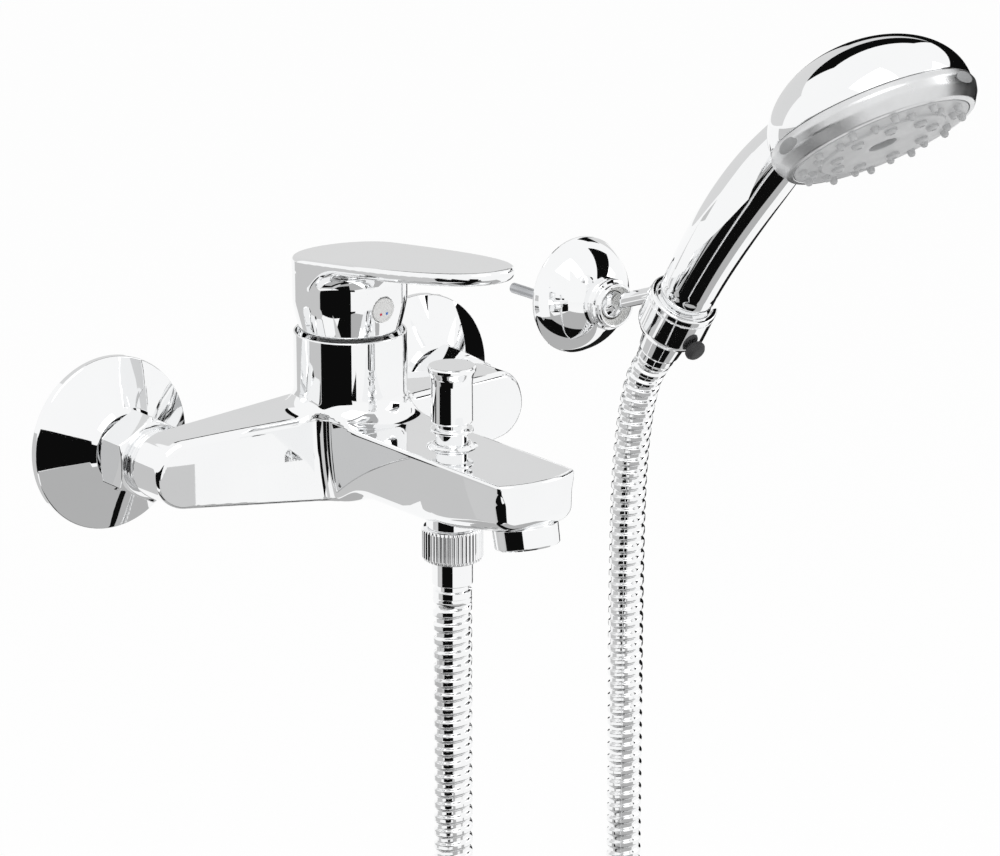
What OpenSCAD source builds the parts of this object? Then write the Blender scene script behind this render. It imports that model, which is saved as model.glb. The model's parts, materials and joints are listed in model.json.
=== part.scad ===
// Bath shower mixer for a wall, with diverter, shower hose, hand shower and wall bracket.
// Millimetres. Origin midway between the two inlets on the wall: X along the wall, Y into it, Z up.

/* [Inlets] */
// Distance between the two inlet axes
inlet_spacing = 150; // [146:1:156]
// Outside diameter of a wall rosette
rosette_d = 69; // [64:0.5:70]
// How far a rosette stands off the wall
rosette_h = 15; // [13:0.5:16]
// Across flats of a union nut
union_af = 30; // [29.5:0.5:31]
// Outside diameter of the union's wall thread
wall_thread_d = 20.96; // [20.5:0.02:21]
// Length of the union's wall thread
wall_thread_l = 16; // [12:1:20]

/* [Body] */
// Radius of the rounded arm ends
arm_r = 13.5; // [12.5:0.25:14]
// Wall to the back of the arms
arm_back = 36.5; // [36:0.25:37.5]
// Wall to the front of an arm at its end
arm_front = 55; // [53:0.5:57]
// Width of the spout
spout_w = 36; // [33:0.5:38]
// Wall to the middle of the spout's tip
spout_reach = 177.5; // [174:0.5:180]
// Height of the spout's flat top over the inlets
spout_top = 13; // [12.5:0.25:13.5]
// Diameter of the tower over the cartridge
tower_d = 44; // [43:0.25:46]
// Wall to the tower's axis
tower_out = 58; // [57.5:0.25:59]
// Height of the seam between tower and lever
seam_z = 45; // [44.5:0.25:45.75]
// Bore of the water ways
way_d = 11; // [9:0.5:12]

/* [Cartridge and lever] */
// Diameter of the cartridge
cartridge_d = 35; // [33.5:0.25:35.5]
// Height of the lever's tilting axis
pivot_z = 50; // [49.5:0.25:50.5]
// Diameter of the stem pin
pin_d = 3; // [2.5:0.1:3.4]
// Lever tilt from shut to fully open, degrees
tilt_open = 22; // [18:1:22]
// Diameter of the lever's skirt
skirt_d = 44.4; // [43:0.2:46]
// Wall to the lever's tip
lever_reach = 152; // [148:1:160]
// Thickness of the lever's plate
plate_t = 5; // [4:0.25:6]
// Diameter of the index plug
index_d = 9.5; // [8:0.25:10]

/* [Diverter] */
// Wall to the axis of diverter and shower outlet
diverter_out = 122; // [120:0.5:126]
// Diameter of the knob's top
knob_d = 18.4; // [17.6:0.2:20]
// Height of the knob
knob_h = 22.5; // [20:0.5:24]
// Diameter of the diverter's stem
stem_d = 12; // [11:0.2:12.4]
// Travel of the diverter
diverter_lift = 6; // [5:0.25:6.5]

/* [Outlets] */
// Outside diameter of the aerator
aerator_d = 24.8; // [24:0.2:26]
// Visible height of the aerator
aerator_h = 8; // [7:0.5:10]
// Outside diameter of the shower outlet's thread
outlet_thread_d = 20.8; // [20.4:0.1:21]
// Diameter of the knurled hose nut
hose_nut_d = 23.5; // [23:0.25:25]
// Diameter of the hose
hose_d = 14.9; // [14:0.1:15.2]
// Bore of the hose
hose_bore_d = 9; // [8:0.25:9.5]
// Number of ribs on the hose
hose_ribs = 190; // [120:1:196]

/* [Wall bracket] */
// Mixer's middle to the bracket's axis, along the wall
bracket_x = 162; // [160:0.5:164]
// Height of the bracket's axis over the inlets
bracket_z = 20; // [18:0.5:22]
// Diameter of the bracket's dome
dome_d = 50; // [47:0.5:54]
// Diameter of the swivel ball
ball_d = 13; // [12.6:0.1:13.4]
// Diameter of the holder's arm
arm_rod_d = 6.4; // [6:0.1:6.6]
// Spacing of the two wall screws
screw_spacing = 30; // [28:0.5:31]
// Diameter of a wall screw
screw_d = 4.4; // [4:0.1:4.8]

/* [Hand shower] */
// Wall to the middle of the holder's cup
holder_out = 63; // [62:0.5:65]
// Steepness of the holder's axis, degrees
holder_tilt = 58; // [56:0.5:60]
// Diameter of the handle
handle_d = 24; // [23.8:0.1:24.6]
// Length of the handle's bowed part
handle_l = 120; // [114:1:126]
// Diameter of the spray ring
head_d = 84; // [80:0.5:90]
// Height of the head's domed back over the ring
head_h = 28; // [27:0.5:31]

/* [Clearances] */
// Radial clearance of a running fit
run_fit = 0.05; // [0.03:0.01:0.08]
// Gap between pieces that move past each other
gap = 0.3; // [0.3:0.05:0.4]

/* [Hidden] */
$fn = 64;
eps = 0.01;
chrome = "#d4d7da";
satin = "#b9bcbf";
brass = "#b99a58";
steel = "#8f9499";
rubber = "#2c2d2f";
white_plastic = "#e9e8e3";
grey_plastic = "#a8abac";
ceramic = "#f1efe9";

// Places of the mixer's main axes
inlet_x = inlet_spacing / 2;
tower_y = -tower_out;
tower_r = tower_d / 2;
diverter_y = -diverter_out;
arm_low = -19.5;
arm_top = 15.2;
body_h = 60;
tip_to_aerator = 11.5;
// Wall unions, out from the wall
union_back = 19;
union_front = 31;
socket_r = 7.5;
washer_r = 9;
spout_low = -14.5;
tip_low = -4.5;
tip_r = 38;
// Cartridge levels, from the seat up
seat_z = 8;
cart_r = cartridge_d / 2;
cart_in_r = cart_r - 2.5;
base_z = seat_z + 6;
disc_t = 4;
moving_z = base_z + disc_t;
moving_t = 3.5;
carrier_z = moving_z + moving_t;
carrier_h = 6.2;
roof_z = 30.5;
shoulder_z = roof_z + 2.5;
neck_r = 13;
neck_top = 41;
turret_r = 11.3;
nut_top = 38;
nut_r = cart_r + 1.5;
mouth_r = tower_r - 1.2;
disc_r = 9.5;
tip_z = 25.5;
tip_arm = pivot_z - tip_z;
disc_shift = tip_arm * sin(tilt_open / 2);
// Lever
skirt_r = skirt_d / 2;
plate_r = skirt_r + 0.25;
rim_r = mouth_r - 1;
rim_z = seam_z + 1.5;
plate_rise = 6.7;
plate_back_z = 73.5;
hub_z = pivot_z + 8;
skirt_top = plate_back_z + 19;
index_z = 57;
grub_z = 61;
// Diverter levels
chamber_r = 9;
chamber_low = -9;
bonnet_low = 7;
valve_z = chamber_low + gap + 1.2;
valve_t = 2.5;
knob_low = 22.5;
ring_z = 19;
// Shower outlet levels, from the spout down
neck_low = -18.3;
nipple_low = -27;
washer_t = 1.5;
flange_t = 1.5;
nut_low = -31.4;
ferrule_low = -46.7;
ferrule_r = 7.8;
// Aerator
aerator_y = tip_to_aerator - spout_reach;
aerator_lean = 12;
// Bracket and holder, out from the wall
dome_h = 19;
ball_out = 20;
ball_r = ball_d / 2;
seat_r = ball_r + 2.1;
collar_r = 11;
cup_half = 10;
cup_r = 14.5;
nut_top_r = 11.9;
cup_rise = 4;
lift_axis = [0, -cos(holder_tilt), sin(holder_tilt)];
// Handle's arc and head
neck_tilt = 38;
handle_r = handle_d / 2;
handle_start = cup_half + gap;
plug_l = 5;
arc_r = handle_l / ((holder_tilt - neck_tilt) * PI / 180);
face_tilt = 35;
head_r = head_d / 2;
arc_in = [holder_out + (handle_start + plug_l) * cos(holder_tilt),
    bracket_z + cup_rise + (handle_start + plug_l) * sin(holder_tilt)];
arc_mid = [arc_in[0] + arc_r * sin(holder_tilt), arc_in[1] - arc_r * cos(holder_tilt)];
arc_out = [arc_mid[0] - arc_r * sin(neck_tilt), arc_mid[1] + arc_r * cos(neck_tilt)];
head_in = head_r - 22;
head_drop = handle_r + 0.5;
head_at = [arc_out[0] + head_in * cos(face_tilt) + head_drop * sin(face_tilt),
    arc_out[1] + head_in * sin(face_tilt) - head_drop * cos(face_tilt)];
ring_h = 12;
// Hose route from the mixer's ferrule to the hand shower's ferrule
hose_route = [[0, -122, -47], [0, -122, -65], [0, -122, -110], [0, -122, -170], [0, -122, -240],
    [0, -122, -310], [3, -120, -370], [13, -115, -425], [33, -104, -468], [62, -88, -493],
    [81, -77, -497], [100, -67, -493], [129, -51, -468], [149, -40, -425], [159, -35, -370],
    [162, -33, -310], [162, -33, -240], [162, -33, -170], [162, -33, -110], [162, -34, -60],
    [162, -37, -30], [162, -42.33, -9.07], [162, -50.07, 3.31]];

// Points outward from the wall: local Z becomes minus Y
module outward() { rotate([90, 0, 0]) children(); }
// The hand shower's plane: local X leaves the wall, local Y is up
module side_plane() { translate([bracket_x, 0, 0]) rotate([90, 0, -90]) children(); }
// The holder's axis: local Z runs up the cup towards the handle
module holder_axis() {
    side_plane() translate([holder_out, bracket_z + cup_rise, 0])
        rotate([0, 0, holder_tilt - 90]) rotate([-90, 0, 0]) children();
}
// The head: local Z points to its domed back
module head_axis() {
    side_plane() translate([head_at[0], head_at[1], 0])
        rotate([0, 0, face_tilt]) rotate([-90, 0, 0]) children();
}
// The aerator's axis: local Z points up into the spout
module aerator_axis() {
    translate([0, aerator_y, tip_low - tip_to_aerator * tan(aerator_lean)])
        rotate([-aerator_lean, 0, 0]) children();
}
module tube(r_out, r_in, h) {
    difference() {
        cylinder(r = r_out, h = h);
        translate([0, 0, -1]) cylinder(r = r_in, h = h + 2);
    }
}
// Points of a Catmull-Rom curve through a list, steps for each stretch
function curve_at(a, b, c, d, t) = 0.5 * (2 * b + (c - a) * t + (2 * a - 5 * b + 4 * c - d) * t * t
    + (3 * b - a - 3 * c + d) * t * t * t);
function curve(pts, steps) = let (n = len(pts) - 1)
    [for (i = [0 : n - 1]) for (k = [0 : steps - 1])
        curve_at(pts[max(i - 1, 0)], pts[i], pts[i + 1], pts[min(i + 2, n)], k / steps), pts[n]];
function run(pts, i = 0, sum = 0, out = []) = i >= len(pts) ? out
    : let (s = i == 0 ? 0 : sum + norm(pts[i] - pts[i - 1])) run(pts, i + 1, s, concat(out, [s]));
function unit(v) = v / norm(v);
// Point and heading at a distance along a polyline
function along(pts, marks, s) = let (i = min(len([for (m = marks) if (m <= s) 1]), len(pts) - 1))
    let (t = (s - marks[i - 1]) / (marks[i] - marks[i - 1]))
    [pts[i - 1] + t * (pts[i] - pts[i - 1]), unit(pts[i] - pts[i - 1])];
// Ring of points round a heading, held square to it
function ring_at(p, dir, side, r, n) = let (u = unit(side - dir * (side * dir)), v = cross(dir, u))
    [for (k = [0 : n - 1]) p + r * (cos(360 * k / n) * u + sin(360 * k / n) * v)];
// Closed skin over rings, the last ring joining the first one
module ring_skin(rings) {
    n = len(rings[0]);
    m = len(rings);
    pts = [for (r = rings) for (p = r) p];
    faces = [for (i = [0 : m - 1]) for (k = [0 : n - 1])
        let (j = (i + 1) % m, q = (k + 1) % n)
        each [[i * n + k, i * n + q, j * n + q], [i * n + k, j * n + q, j * n + k]]];
    polyhedron(points = pts, faces = [for (f = faces) [f[2], f[1], f[0]]]);
}

// Outline of the body from the front
module arm_front_view() {
    for (s = [-1, 1]) translate([s * inlet_x, 0]) circle(r = arm_r);
    polygon([[-inlet_x, arm_r - 0.05], [-spout_w / 2, arm_top], [spout_w / 2, arm_top],
        [inlet_x, arm_r - 0.05], [inlet_x, 0.05 - arm_r],
        [spout_w / 2, arm_low], [-spout_w / 2, arm_low], [-inlet_x, 0.05 - arm_r]]);
}
// Outline of the arms from above
module arm_plan() {
    out = inlet_x + arm_r + 1;
    polygon([[-out, -arm_back], [out, -arm_back], [out, -arm_front], [spout_w / 2 + 3, -arm_front - 9],
        [spout_w / 2, -arm_front - 13], [-spout_w / 2, -arm_front - 13],
        [-spout_w / 2 - 3, -arm_front - 9], [-out, -arm_front]]);
}
// Outline of the spout from the side, X leaving the wall
module spout_side() {
    fall = tan(aerator_lean);
    polygon([[arm_back + 2, spout_top], [spout_reach + 2, spout_top], [spout_reach + 2, tip_low + 2 * fall],
        [spout_reach - 28, tip_low - 28 * fall], [spout_reach - 46, spout_low],
        [arm_front + 31, spout_low], [arm_front + 14, arm_low], [arm_back + 2, arm_low]]);
}
module spout_plan() {
    translate([0, tip_r - spout_reach]) circle(r = tip_r);
    translate([-spout_w * 0.8, tip_r - spout_reach - 8]) square([spout_w * 1.6, spout_reach]);
}
module body_hull() {
    intersection() {
        outward() linear_extrude(height = 2 * arm_front) arm_front_view();
        translate([0, 0, arm_low - 1]) linear_extrude(height = body_h) arm_plan();
    }
    intersection() {
        translate([spout_w / 2, 0, 0]) rotate([90, 0, -90])
            linear_extrude(height = spout_w) spout_side();
        translate([0, 0, arm_low - 1]) linear_extrude(height = body_h) spout_plan();
    }
    translate([0, tower_y, spout_top - 3]) cylinder(r = tower_r, h = seam_z - spout_top + 3);
}

module mixer_body() {
    way_r = way_d / 2;
    color(chrome) difference() {
        body_hull();
        // Seat, cartridge bore, nut thread and mouth
        translate([0, tower_y, seat_z]) cylinder(r = cart_r + run_fit, h = seam_z);
        translate([0, tower_y, shoulder_z]) cylinder(r = nut_r, h = 30);
        translate([0, tower_y, nut_top]) cylinder(r = mouth_r, h = 30);
        // Inlet sockets and the ways along both arms
        for (s = [-1, 1]) {
            translate([s * inlet_x, -arm_back + 1, 0]) outward() cylinder(r = socket_r, h = 13);
            translate([s * inlet_x, -arm_back - 11, 0]) rotate([0, -90 * s, 0])
                cylinder(r = way_r, h = inlet_x - 5);
            translate([s * 6.5, tower_y + 6, -2]) cylinder(r = 3.5, h = seat_z + 3);
        }
        // Mixed water, from the seat to the diverter and on to the aerator
        translate([0, tower_y - 9, -1]) cylinder(r = 3.5, h = seat_z + 2);
        translate([0, tower_y - 7, 0]) outward() cylinder(r = way_r - 1, h = tower_y - 7 - aerator_y);
        translate([0, diverter_y, chamber_low]) cylinder(r = chamber_r, h = bonnet_low - chamber_low + 1);
        translate([0, diverter_y, bonnet_low]) cylinder(r = chamber_r + 0.5 + run_fit, h = 20);
        translate([0, diverter_y, -30]) cylinder(r = 8, h = 30);
        aerator_axis() translate([0, 0, -1]) cylinder(r = aerator_d / 2 - 1.4 + run_fit, h = 9.5);
    }
}

// Inlets
module wall_union(s) {
    translate([s * inlet_x, 0, 0]) difference() {
        union() {
            translate([0, wall_thread_l, 0]) outward() cylinder(d = wall_thread_d, h = wall_thread_l);
            translate([0, 1, 0]) outward() cylinder(r = 10, h = union_back + 2);
            translate([0, -union_back, 0]) outward() cylinder(r = 13.2, h = union_front - union_back);
        }
        translate([0, wall_thread_l + 1, 0]) outward() cylinder(r = socket_r, h = body_h);
    }
}
module wall_union_left() { color(chrome) wall_union(-1); }
module wall_union_right() { color(chrome) wall_union(1); }
module rosette(s) {
    r = rosette_d / 2;
    translate([s * inlet_x, 0, 0]) outward() rotate_extrude()
        polygon([[r - 1.2, 0], [r, 0], [r, 3], [15.5, rosette_h - 1], [14, rosette_h],
            [10, rosette_h], [10, rosette_h - 1.4], [14, rosette_h - 1.6], [r - 1.2, 2.4]]);
}
module rosette_left() { color(chrome) rosette(-1); }
module rosette_right() { color(chrome) rosette(1); }
module union_nut(s) {
    corner = union_af / sqrt(3);
    translate([s * inlet_x, -18, 0]) outward() difference() {
        union() {
            intersection() {
                rotate([0, 0, 30]) rotate([0, 0, 60]) cylinder(r = corner, h = 15, $fn = 6);
                rotate_extrude() polygon([[0, 0], [corner - 1.6, 0], [corner + 0.4, 2],
                    [corner + 0.4, 13], [corner - 1.6, 15], [0, 15]]);
            }
            translate([0, 0, 15 - eps]) cylinder(r = 12.4, h = arm_back - 33 + eps);
        }
        translate([0, 0, -1]) cylinder(r = 13.2, h = 14);
        translate([0, 0, 1]) cylinder(r = washer_r, h = arm_back);
    }
}
module union_nut_left() { color(chrome) union_nut(-1); }
module union_nut_right() { color(chrome) union_nut(1); }
module inlet_washers() {
    color(rubber) for (s = [-1, 1])
        translate([s * inlet_x, -arm_back, 0]) rotate([-90, 0, 0]) tube(washer_r, socket_r, arm_back - union_front);
}

// Cartridge
module cartridge_housing() {
    color(white_plastic) translate([0, tower_y, 0]) difference() {
        union() {
            translate([0, 0, seat_z]) cylinder(r = cart_r, h = shoulder_z - seat_z);
            translate([0, 0, shoulder_z - eps]) cylinder(r = neck_r, h = neck_top - shoulder_z + eps);
        }
        translate([0, 0, base_z]) cylinder(r = cart_in_r, h = roof_z - base_z);
        translate([0, 0, base_z]) cylinder(r = turret_r + gap, h = 40);
        ports(seat_z - 1, 20);
        translate([0, 0, seat_z]) seal_rings(1);
    }
}
module ports(z, h) {
    for (s = [-1, 1]) translate([s * 6.5, 6, z]) cylinder(r = 3.5, h = h);
    translate([0, -9, z]) cylinder(r = 3.5, h = h);
}
// Seal rings up to a height of 2 mm over the seat, starting below it by a given depth
module seal_rings(below) {
    for (p = [[-6.5, 6], [6.5, 6], [0, -9]])
        translate([p[0], p[1], -below]) tube(5.4, 3.9, 2 + below);
}
module cartridge_seals() {
    color(rubber) translate([0, tower_y, seat_z]) seal_rings(0);
}
module fixed_disc() {
    color(ceramic) translate([0, tower_y, 0]) difference() {
        translate([0, 0, base_z]) cylinder(r = cart_in_r - run_fit, h = disc_t);
        ports(base_z - 1, disc_t + 2);
    }
}
module moving_disc() {
    color(ceramic) translate([0, tower_y + disc_shift, moving_z + run_fit]) difference() {
        cylinder(r = disc_r, h = moving_t);
        translate([0, -2, -1]) cylinder(r = 4.5, h = 2.5);
    }
}
module disc_carrier() {
    color(grey_plastic) translate([0, tower_y + disc_shift, carrier_z + run_fit]) difference() {
        cylinder(r = disc_r, h = carrier_h);
        translate([0, 0, 1]) cylinder(r = 3.4, h = carrier_h);
    }
}
module cartridge_turret() {
    low = roof_z - gap - 2;
    color(grey_plastic) translate([0, tower_y, 0]) difference() {
        union() {
            translate([0, 0, low]) cylinder(r = cart_in_r - 1, h = 2);
            translate([0, 0, low]) cylinder(r = turret_r, h = neck_top - low + 1);
            translate([0, 0, neck_top]) cylinder(r = 10, h = pivot_z + 3 - neck_top);
        }
        translate([-4.3, -8.6, low - 1]) cube([8.6, 17.2, 40]);
        translate([-20, 0, pivot_z]) rotate([0, 90, 0]) cylinder(d = pin_d, h = 40);
    }
}
module stem_pin() {
    color(steel) translate([-8.5, tower_y, pivot_z]) rotate([0, 90, 0]) cylinder(d = pin_d, h = 17);
}
module lever_stem() {
    color(steel) translate([0, tower_y, pivot_z]) difference() {
        union() {
            translate([-4, -4, 0]) cube([8, 8, 20]);
            translate([-4, 0, 0]) rotate([0, 90, 0]) cylinder(r = 4.4, h = 8);
            rotate([180 + tilt_open / 2, 0, 0]) cylinder(r = 2.4, h = tip_arm);
            rotate([180 + tilt_open / 2, 0, 0]) translate([0, 0, tip_arm]) sphere(r = 2.9);
        }
        translate([-10, 0, 0]) rotate([0, 90, 0]) cylinder(r = pin_d / 2 + run_fit, h = 20);
    }
}
module cartridge_nut() {
    color(brass) translate([0, tower_y, shoulder_z]) tube(nut_r - run_fit, neck_r + gap, nut_top - shoulder_z);
}

// Lever
// Half width of the plate at a share of its length from the tower's axis to the tip
function plate_half(t) = plate_r * pow(max(1 - pow(t, 3.2), 0), 0.42);
// Outline of the plate: a half circle at the back, a long blunt curve to the tip
module plate_outline() {
    l = lever_reach - tower_out;
    back = [for (i = [0 : 12]) [plate_r * cos(15 * i), plate_r * sin(15 * i)]];
    front = [for (i = [1 : 47]) let (t = sin(180 * i / 48)) [(i < 24 ? -1 : 1) * plate_half(t), -l * t]];
    polygon(concat(back, front));
}
// Frame of the plate: its top runs up towards the tip
module plate_frame() {
    translate([0, tower_y, plate_back_z + skirt_r * tan(plate_rise)]) rotate([-plate_rise, 0, 0]) children();
}
module lever_handle() {
    color(chrome) difference() {
        union() {
            intersection() {
                translate([0, tower_y, 0]) rotate_extrude()
                    polygon([[0, rim_z], [rim_r, rim_z], [rim_r + 0.8, rim_z + 3], [skirt_r - 1.2, rim_z + 6.6],
                        [skirt_r - 0.3, rim_z + 9], [skirt_r, rim_z + 11.5], [skirt_r, skirt_top], [0, skirt_top]]);
                plate_frame() translate([-2 * skirt_r, -2 * skirt_r, -skirt_top - plate_t / 2])
                    cube([4 * skirt_r, 4 * skirt_r, skirt_top]);
            }
            plate_frame() translate([0, 0, -plate_t]) linear_extrude(height = plate_t) plate_outline();
        }
        // Hollow skirt, leaving the hub round the stem
        difference() {
            translate([0, tower_y, rim_z - 1]) rotate_extrude()
                polygon([[0, 0], [rim_r - 2, 0], [rim_r - 2, 1], [rim_r, 6], [skirt_r - 2.4, 11],
                    [skirt_r - 2.4, 18.5], [0, 18.5]]);
            translate([-7, tower_y - 7, hub_z]) cube([14, 14, 30]);
        }
        translate([-4, tower_y - 4, pivot_z - 10]) cube([8, 8, 30]);
        translate([0, tower_y - 3.5, grub_z]) outward() cylinder(r = 2, h = 6);
        translate([0, tower_y - skirt_r + 6, index_z]) outward() cylinder(d = index_d, h = 20);
    }
}
module lever_grub_screw() {
    color(steel) translate([0, tower_y - 4, grub_z]) outward() difference() {
        cylinder(r = 2, h = 5.5);
        translate([0, 0, 3]) cylinder(r = 1.1, h = 5, $fn = 6);
    }
}
module index_plug() {
    color(white_plastic) translate([0, tower_y - skirt_r + 2.6, index_z]) outward() cylinder(d = index_d, h = 3.2);
}

// Diverter
module diverter_bonnet() {
    color(brass) translate([0, diverter_y, bonnet_low])
        tube(chamber_r + 0.5, stem_d / 2 + run_fit, spout_top - bonnet_low + 0.6);
}
module diverter_stem() {
    color(chrome) translate([0, diverter_y, 0]) {
        translate([0, 0, bonnet_low + 0.5]) cylinder(d = stem_d, h = knob_low + 8 - bonnet_low);
        translate([0, 0, ring_z]) cylinder(r = stem_d / 2 + 2.4, h = 1.6);
        translate([0, 0, valve_z]) cylinder(r = 3, h = bonnet_low - valve_z + 1);
        translate([0, 0, valve_z]) cylinder(r = chamber_r - 1, h = valve_t);
    }
}
module diverter_seal() {
    color(rubber) translate([0, diverter_y, valve_z - 1.2]) cylinder(r = chamber_r - 1, h = 1.2);
}
module diverter_spring() {
    low = valve_z + valve_t;
    high = bonnet_low;
    turns = 4;
    n = 48;
    wire = 0.5;
    pts = [for (i = [0 : n]) let (a = 360 * turns * i / n)
        [4.6 * cos(a), 4.6 * sin(a), low + wire + (high - low - 2 * wire) * i / n]];
    rings = [for (i = [0 : n]) let (dir = unit(pts[min(i + 1, n)] - pts[max(i - 1, 0)]))
        ring_at(pts[i], dir, [0, 0, 1], wire, 6)];
    flat = [for (r = rings) for (p = r) p];
    faces = concat([[for (k = [5 : -1 : 0]) k]], [for (i = [0 : n - 1]) for (k = [0 : 5])
        let (q = (k + 1) % 6) each [[i * 6 + k, i * 6 + q, i * 6 + 6 + q],
            [i * 6 + k, i * 6 + 6 + q, i * 6 + 6 + k]]], [[for (k = [0 : 5]) n * 6 + k]]);
    color(steel) translate([0, diverter_y, 0])
        polyhedron(points = flat, faces = [for (f = faces) [for (k = [len(f) - 1 : -1 : 0]) f[k]]]);
}
module diverter_knob() {
    r = knob_d / 2;
    color(chrome) translate([0, diverter_y, knob_low]) difference() {
        rotate_extrude() polygon([[0, 0], [r - 2.6, 0], [r - 1.4, 1.2], [r - 1.3, knob_h - 7],
            [r - 0.9, knob_h - 4.5], [r, knob_h - 2.5], [r, knob_h - 0.8], [r - 0.8, knob_h], [0, knob_h]]);
        translate([0, 0, -1]) cylinder(d = stem_d, h = 9.5);
    }
}

// Outlets
module aerator_housing() {
    r = aerator_d / 2;
    color(chrome) aerator_axis() difference() {
        union() {
            translate([0, 0, -aerator_h]) cylinder(r = r, h = aerator_h - 2 * eps);
            translate([0, 0, -aerator_h]) cylinder(r = r - 1.4, h = aerator_h + 5);
        }
        translate([0, 0, -aerator_h + 1.5]) cylinder(r = r - 2.8, h = 20);
        translate([0, 0, -aerator_h - 1]) cylinder(r = r - 3.8, h = 5);
    }
}
module aerator_insert() {
    r = aerator_d / 2;
    color(white_plastic) aerator_axis() translate([0, 0, -aerator_h + 1.5]) difference() {
        cylinder(r = r - 2.8, h = aerator_h + 3.5);
        translate([0, 0, 4]) cylinder(r = r - 4.2, h = 20);
        for (a = [0 : 60 : 300]) rotate([0, 0, a]) translate([4.5, 0, -1]) cylinder(r = 1.6, h = 10);
    }
}
module aerator_washer() {
    r = aerator_d / 2;
    color(rubber) aerator_axis() translate([0, 0, 5]) tube(r - 1.4, r - 4.2, 2);
}
module shower_nipple() {
    color(brass) translate([0, diverter_y, 0]) difference() {
        union() {
            translate([0, 0, spout_low - 1]) cylinder(r = 8, h = chamber_low - spout_low + 1);
            translate([0, 0, neck_low]) cylinder(r = 9.85, h = spout_low - neck_low);
            translate([0, 0, nipple_low]) cylinder(d = outlet_thread_d, h = neck_low - nipple_low + eps);
        }
        translate([0, 0, -60]) cylinder(r = 5, h = 80);
        translate([0, 0, nipple_low - 1]) cylinder(r = 7, h = 9);
    }
}
module check_valve() {
    color(white_plastic) translate([0, diverter_y, nipple_low]) difference() {
        cylinder(r = 7, h = 8);
        translate([0, 0, -1]) cylinder(r = 5.2, h = 3);
        for (a = [0 : 90 : 270]) rotate([0, 0, a]) translate([3, 0, -1]) cylinder(r = 1.3, h = 12);
    }
}
// Knurled outline: teeth alternate between two radii
module knurl(r, teeth) {
    polygon([for (i = [0 : 4 * teeth - 1]) let (a = 90 * i / teeth, rr = i % 4 < 2 ? r : r - 0.6)
        [rr * cos(a), rr * sin(a)]]);
}
module hose_nut() {
    color(chrome) translate([0, diverter_y, nut_low]) difference() {
        union() {
            translate([0, 0, 1]) linear_extrude(height = neck_low - nut_low - 2) knurl(hose_nut_d / 2, 44);
            cylinder(r = hose_nut_d / 2 - 0.7, h = neck_low - nut_low);
        }
        translate([0, 0, 1.4]) cylinder(d = outlet_thread_d, h = 20);
        translate([0, 0, -1]) cylinder(r = ferrule_r + 0.1, h = 20);
    }
}
module hose_washer_lower() {
    color(rubber) translate([0, diverter_y, nipple_low - washer_t]) tube(9.6, 5.4, washer_t);
}
module ferrule_lower() {
    top = nipple_low - washer_t;
    color(chrome) translate([0, diverter_y, 0]) difference() {
        union() {
            translate([0, 0, top - flange_t]) cylinder(r = 9.6, h = flange_t);
            translate([0, 0, ferrule_low]) cylinder(r = ferrule_r, h = top - ferrule_low);
        }
        translate([0, 0, ferrule_low - 1]) cylinder(d = hose_bore_d - 1, h = 40);
    }
}
module shower_hose() {
    sides = 8;
    pts = curve(hose_route, 8);
    marks = run(pts);
    total = marks[len(marks) - 1];
    pitch = total / hose_ribs;
    side = [1, 0.3, 0.1];
    outer = [for (i = [0 : hose_ribs - 1]) for (e = [0.12, 0.72])
        let (w = along(pts, marks, (i + e) * pitch))
        ring_at(w[0], w[1], side, hose_d / 2 - (e < 0.5 ? 0 : 0.9), sides)];
    first = along(pts, marks, 0);
    last = along(pts, marks, total - eps);
    inner = [for (i = [len(hose_route) * 2 : -1 : 0])
        let (w = along(pts, marks, min(total * i / (len(hose_route) * 2), total - eps)))
        ring_at(w[0], w[1], side, hose_bore_d / 2, sides)];
    color(chrome) ring_skin(concat([ring_at(first[0], first[1], side, hose_d / 2, sides)], outer,
        [ring_at(last[0], last[1], side, hose_d / 2, sides)], inner));
}
module ferrule_upper() {
    color(chrome) holder_axis() difference() {
        union() {
            translate([0, 0, -6]) cylinder(r = 9.4, h = flange_t);
            translate([0, 0, -24]) cylinder(r = ferrule_r, h = 19);
        }
        translate([0, 0, -25]) cylinder(d = hose_bore_d - 1, h = 40);
    }
}
module cone_nut() {
    color(chrome) holder_axis() difference() {
        rotate_extrude() polygon([[0, -20], [8.6, -20], [nut_top_r, cup_half - gap], [0, cup_half - gap]]);
        translate([0, 0, -6]) cylinder(r = 9.6, h = 40);
        translate([0, 0, -30]) cylinder(r = ferrule_r + 0.1, h = 40);
    }
}
module hose_washer_upper() {
    color(rubber) holder_axis() translate([0, 0, -6 + flange_t]) tube(9.4, 5.4, washer_t);
}

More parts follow.
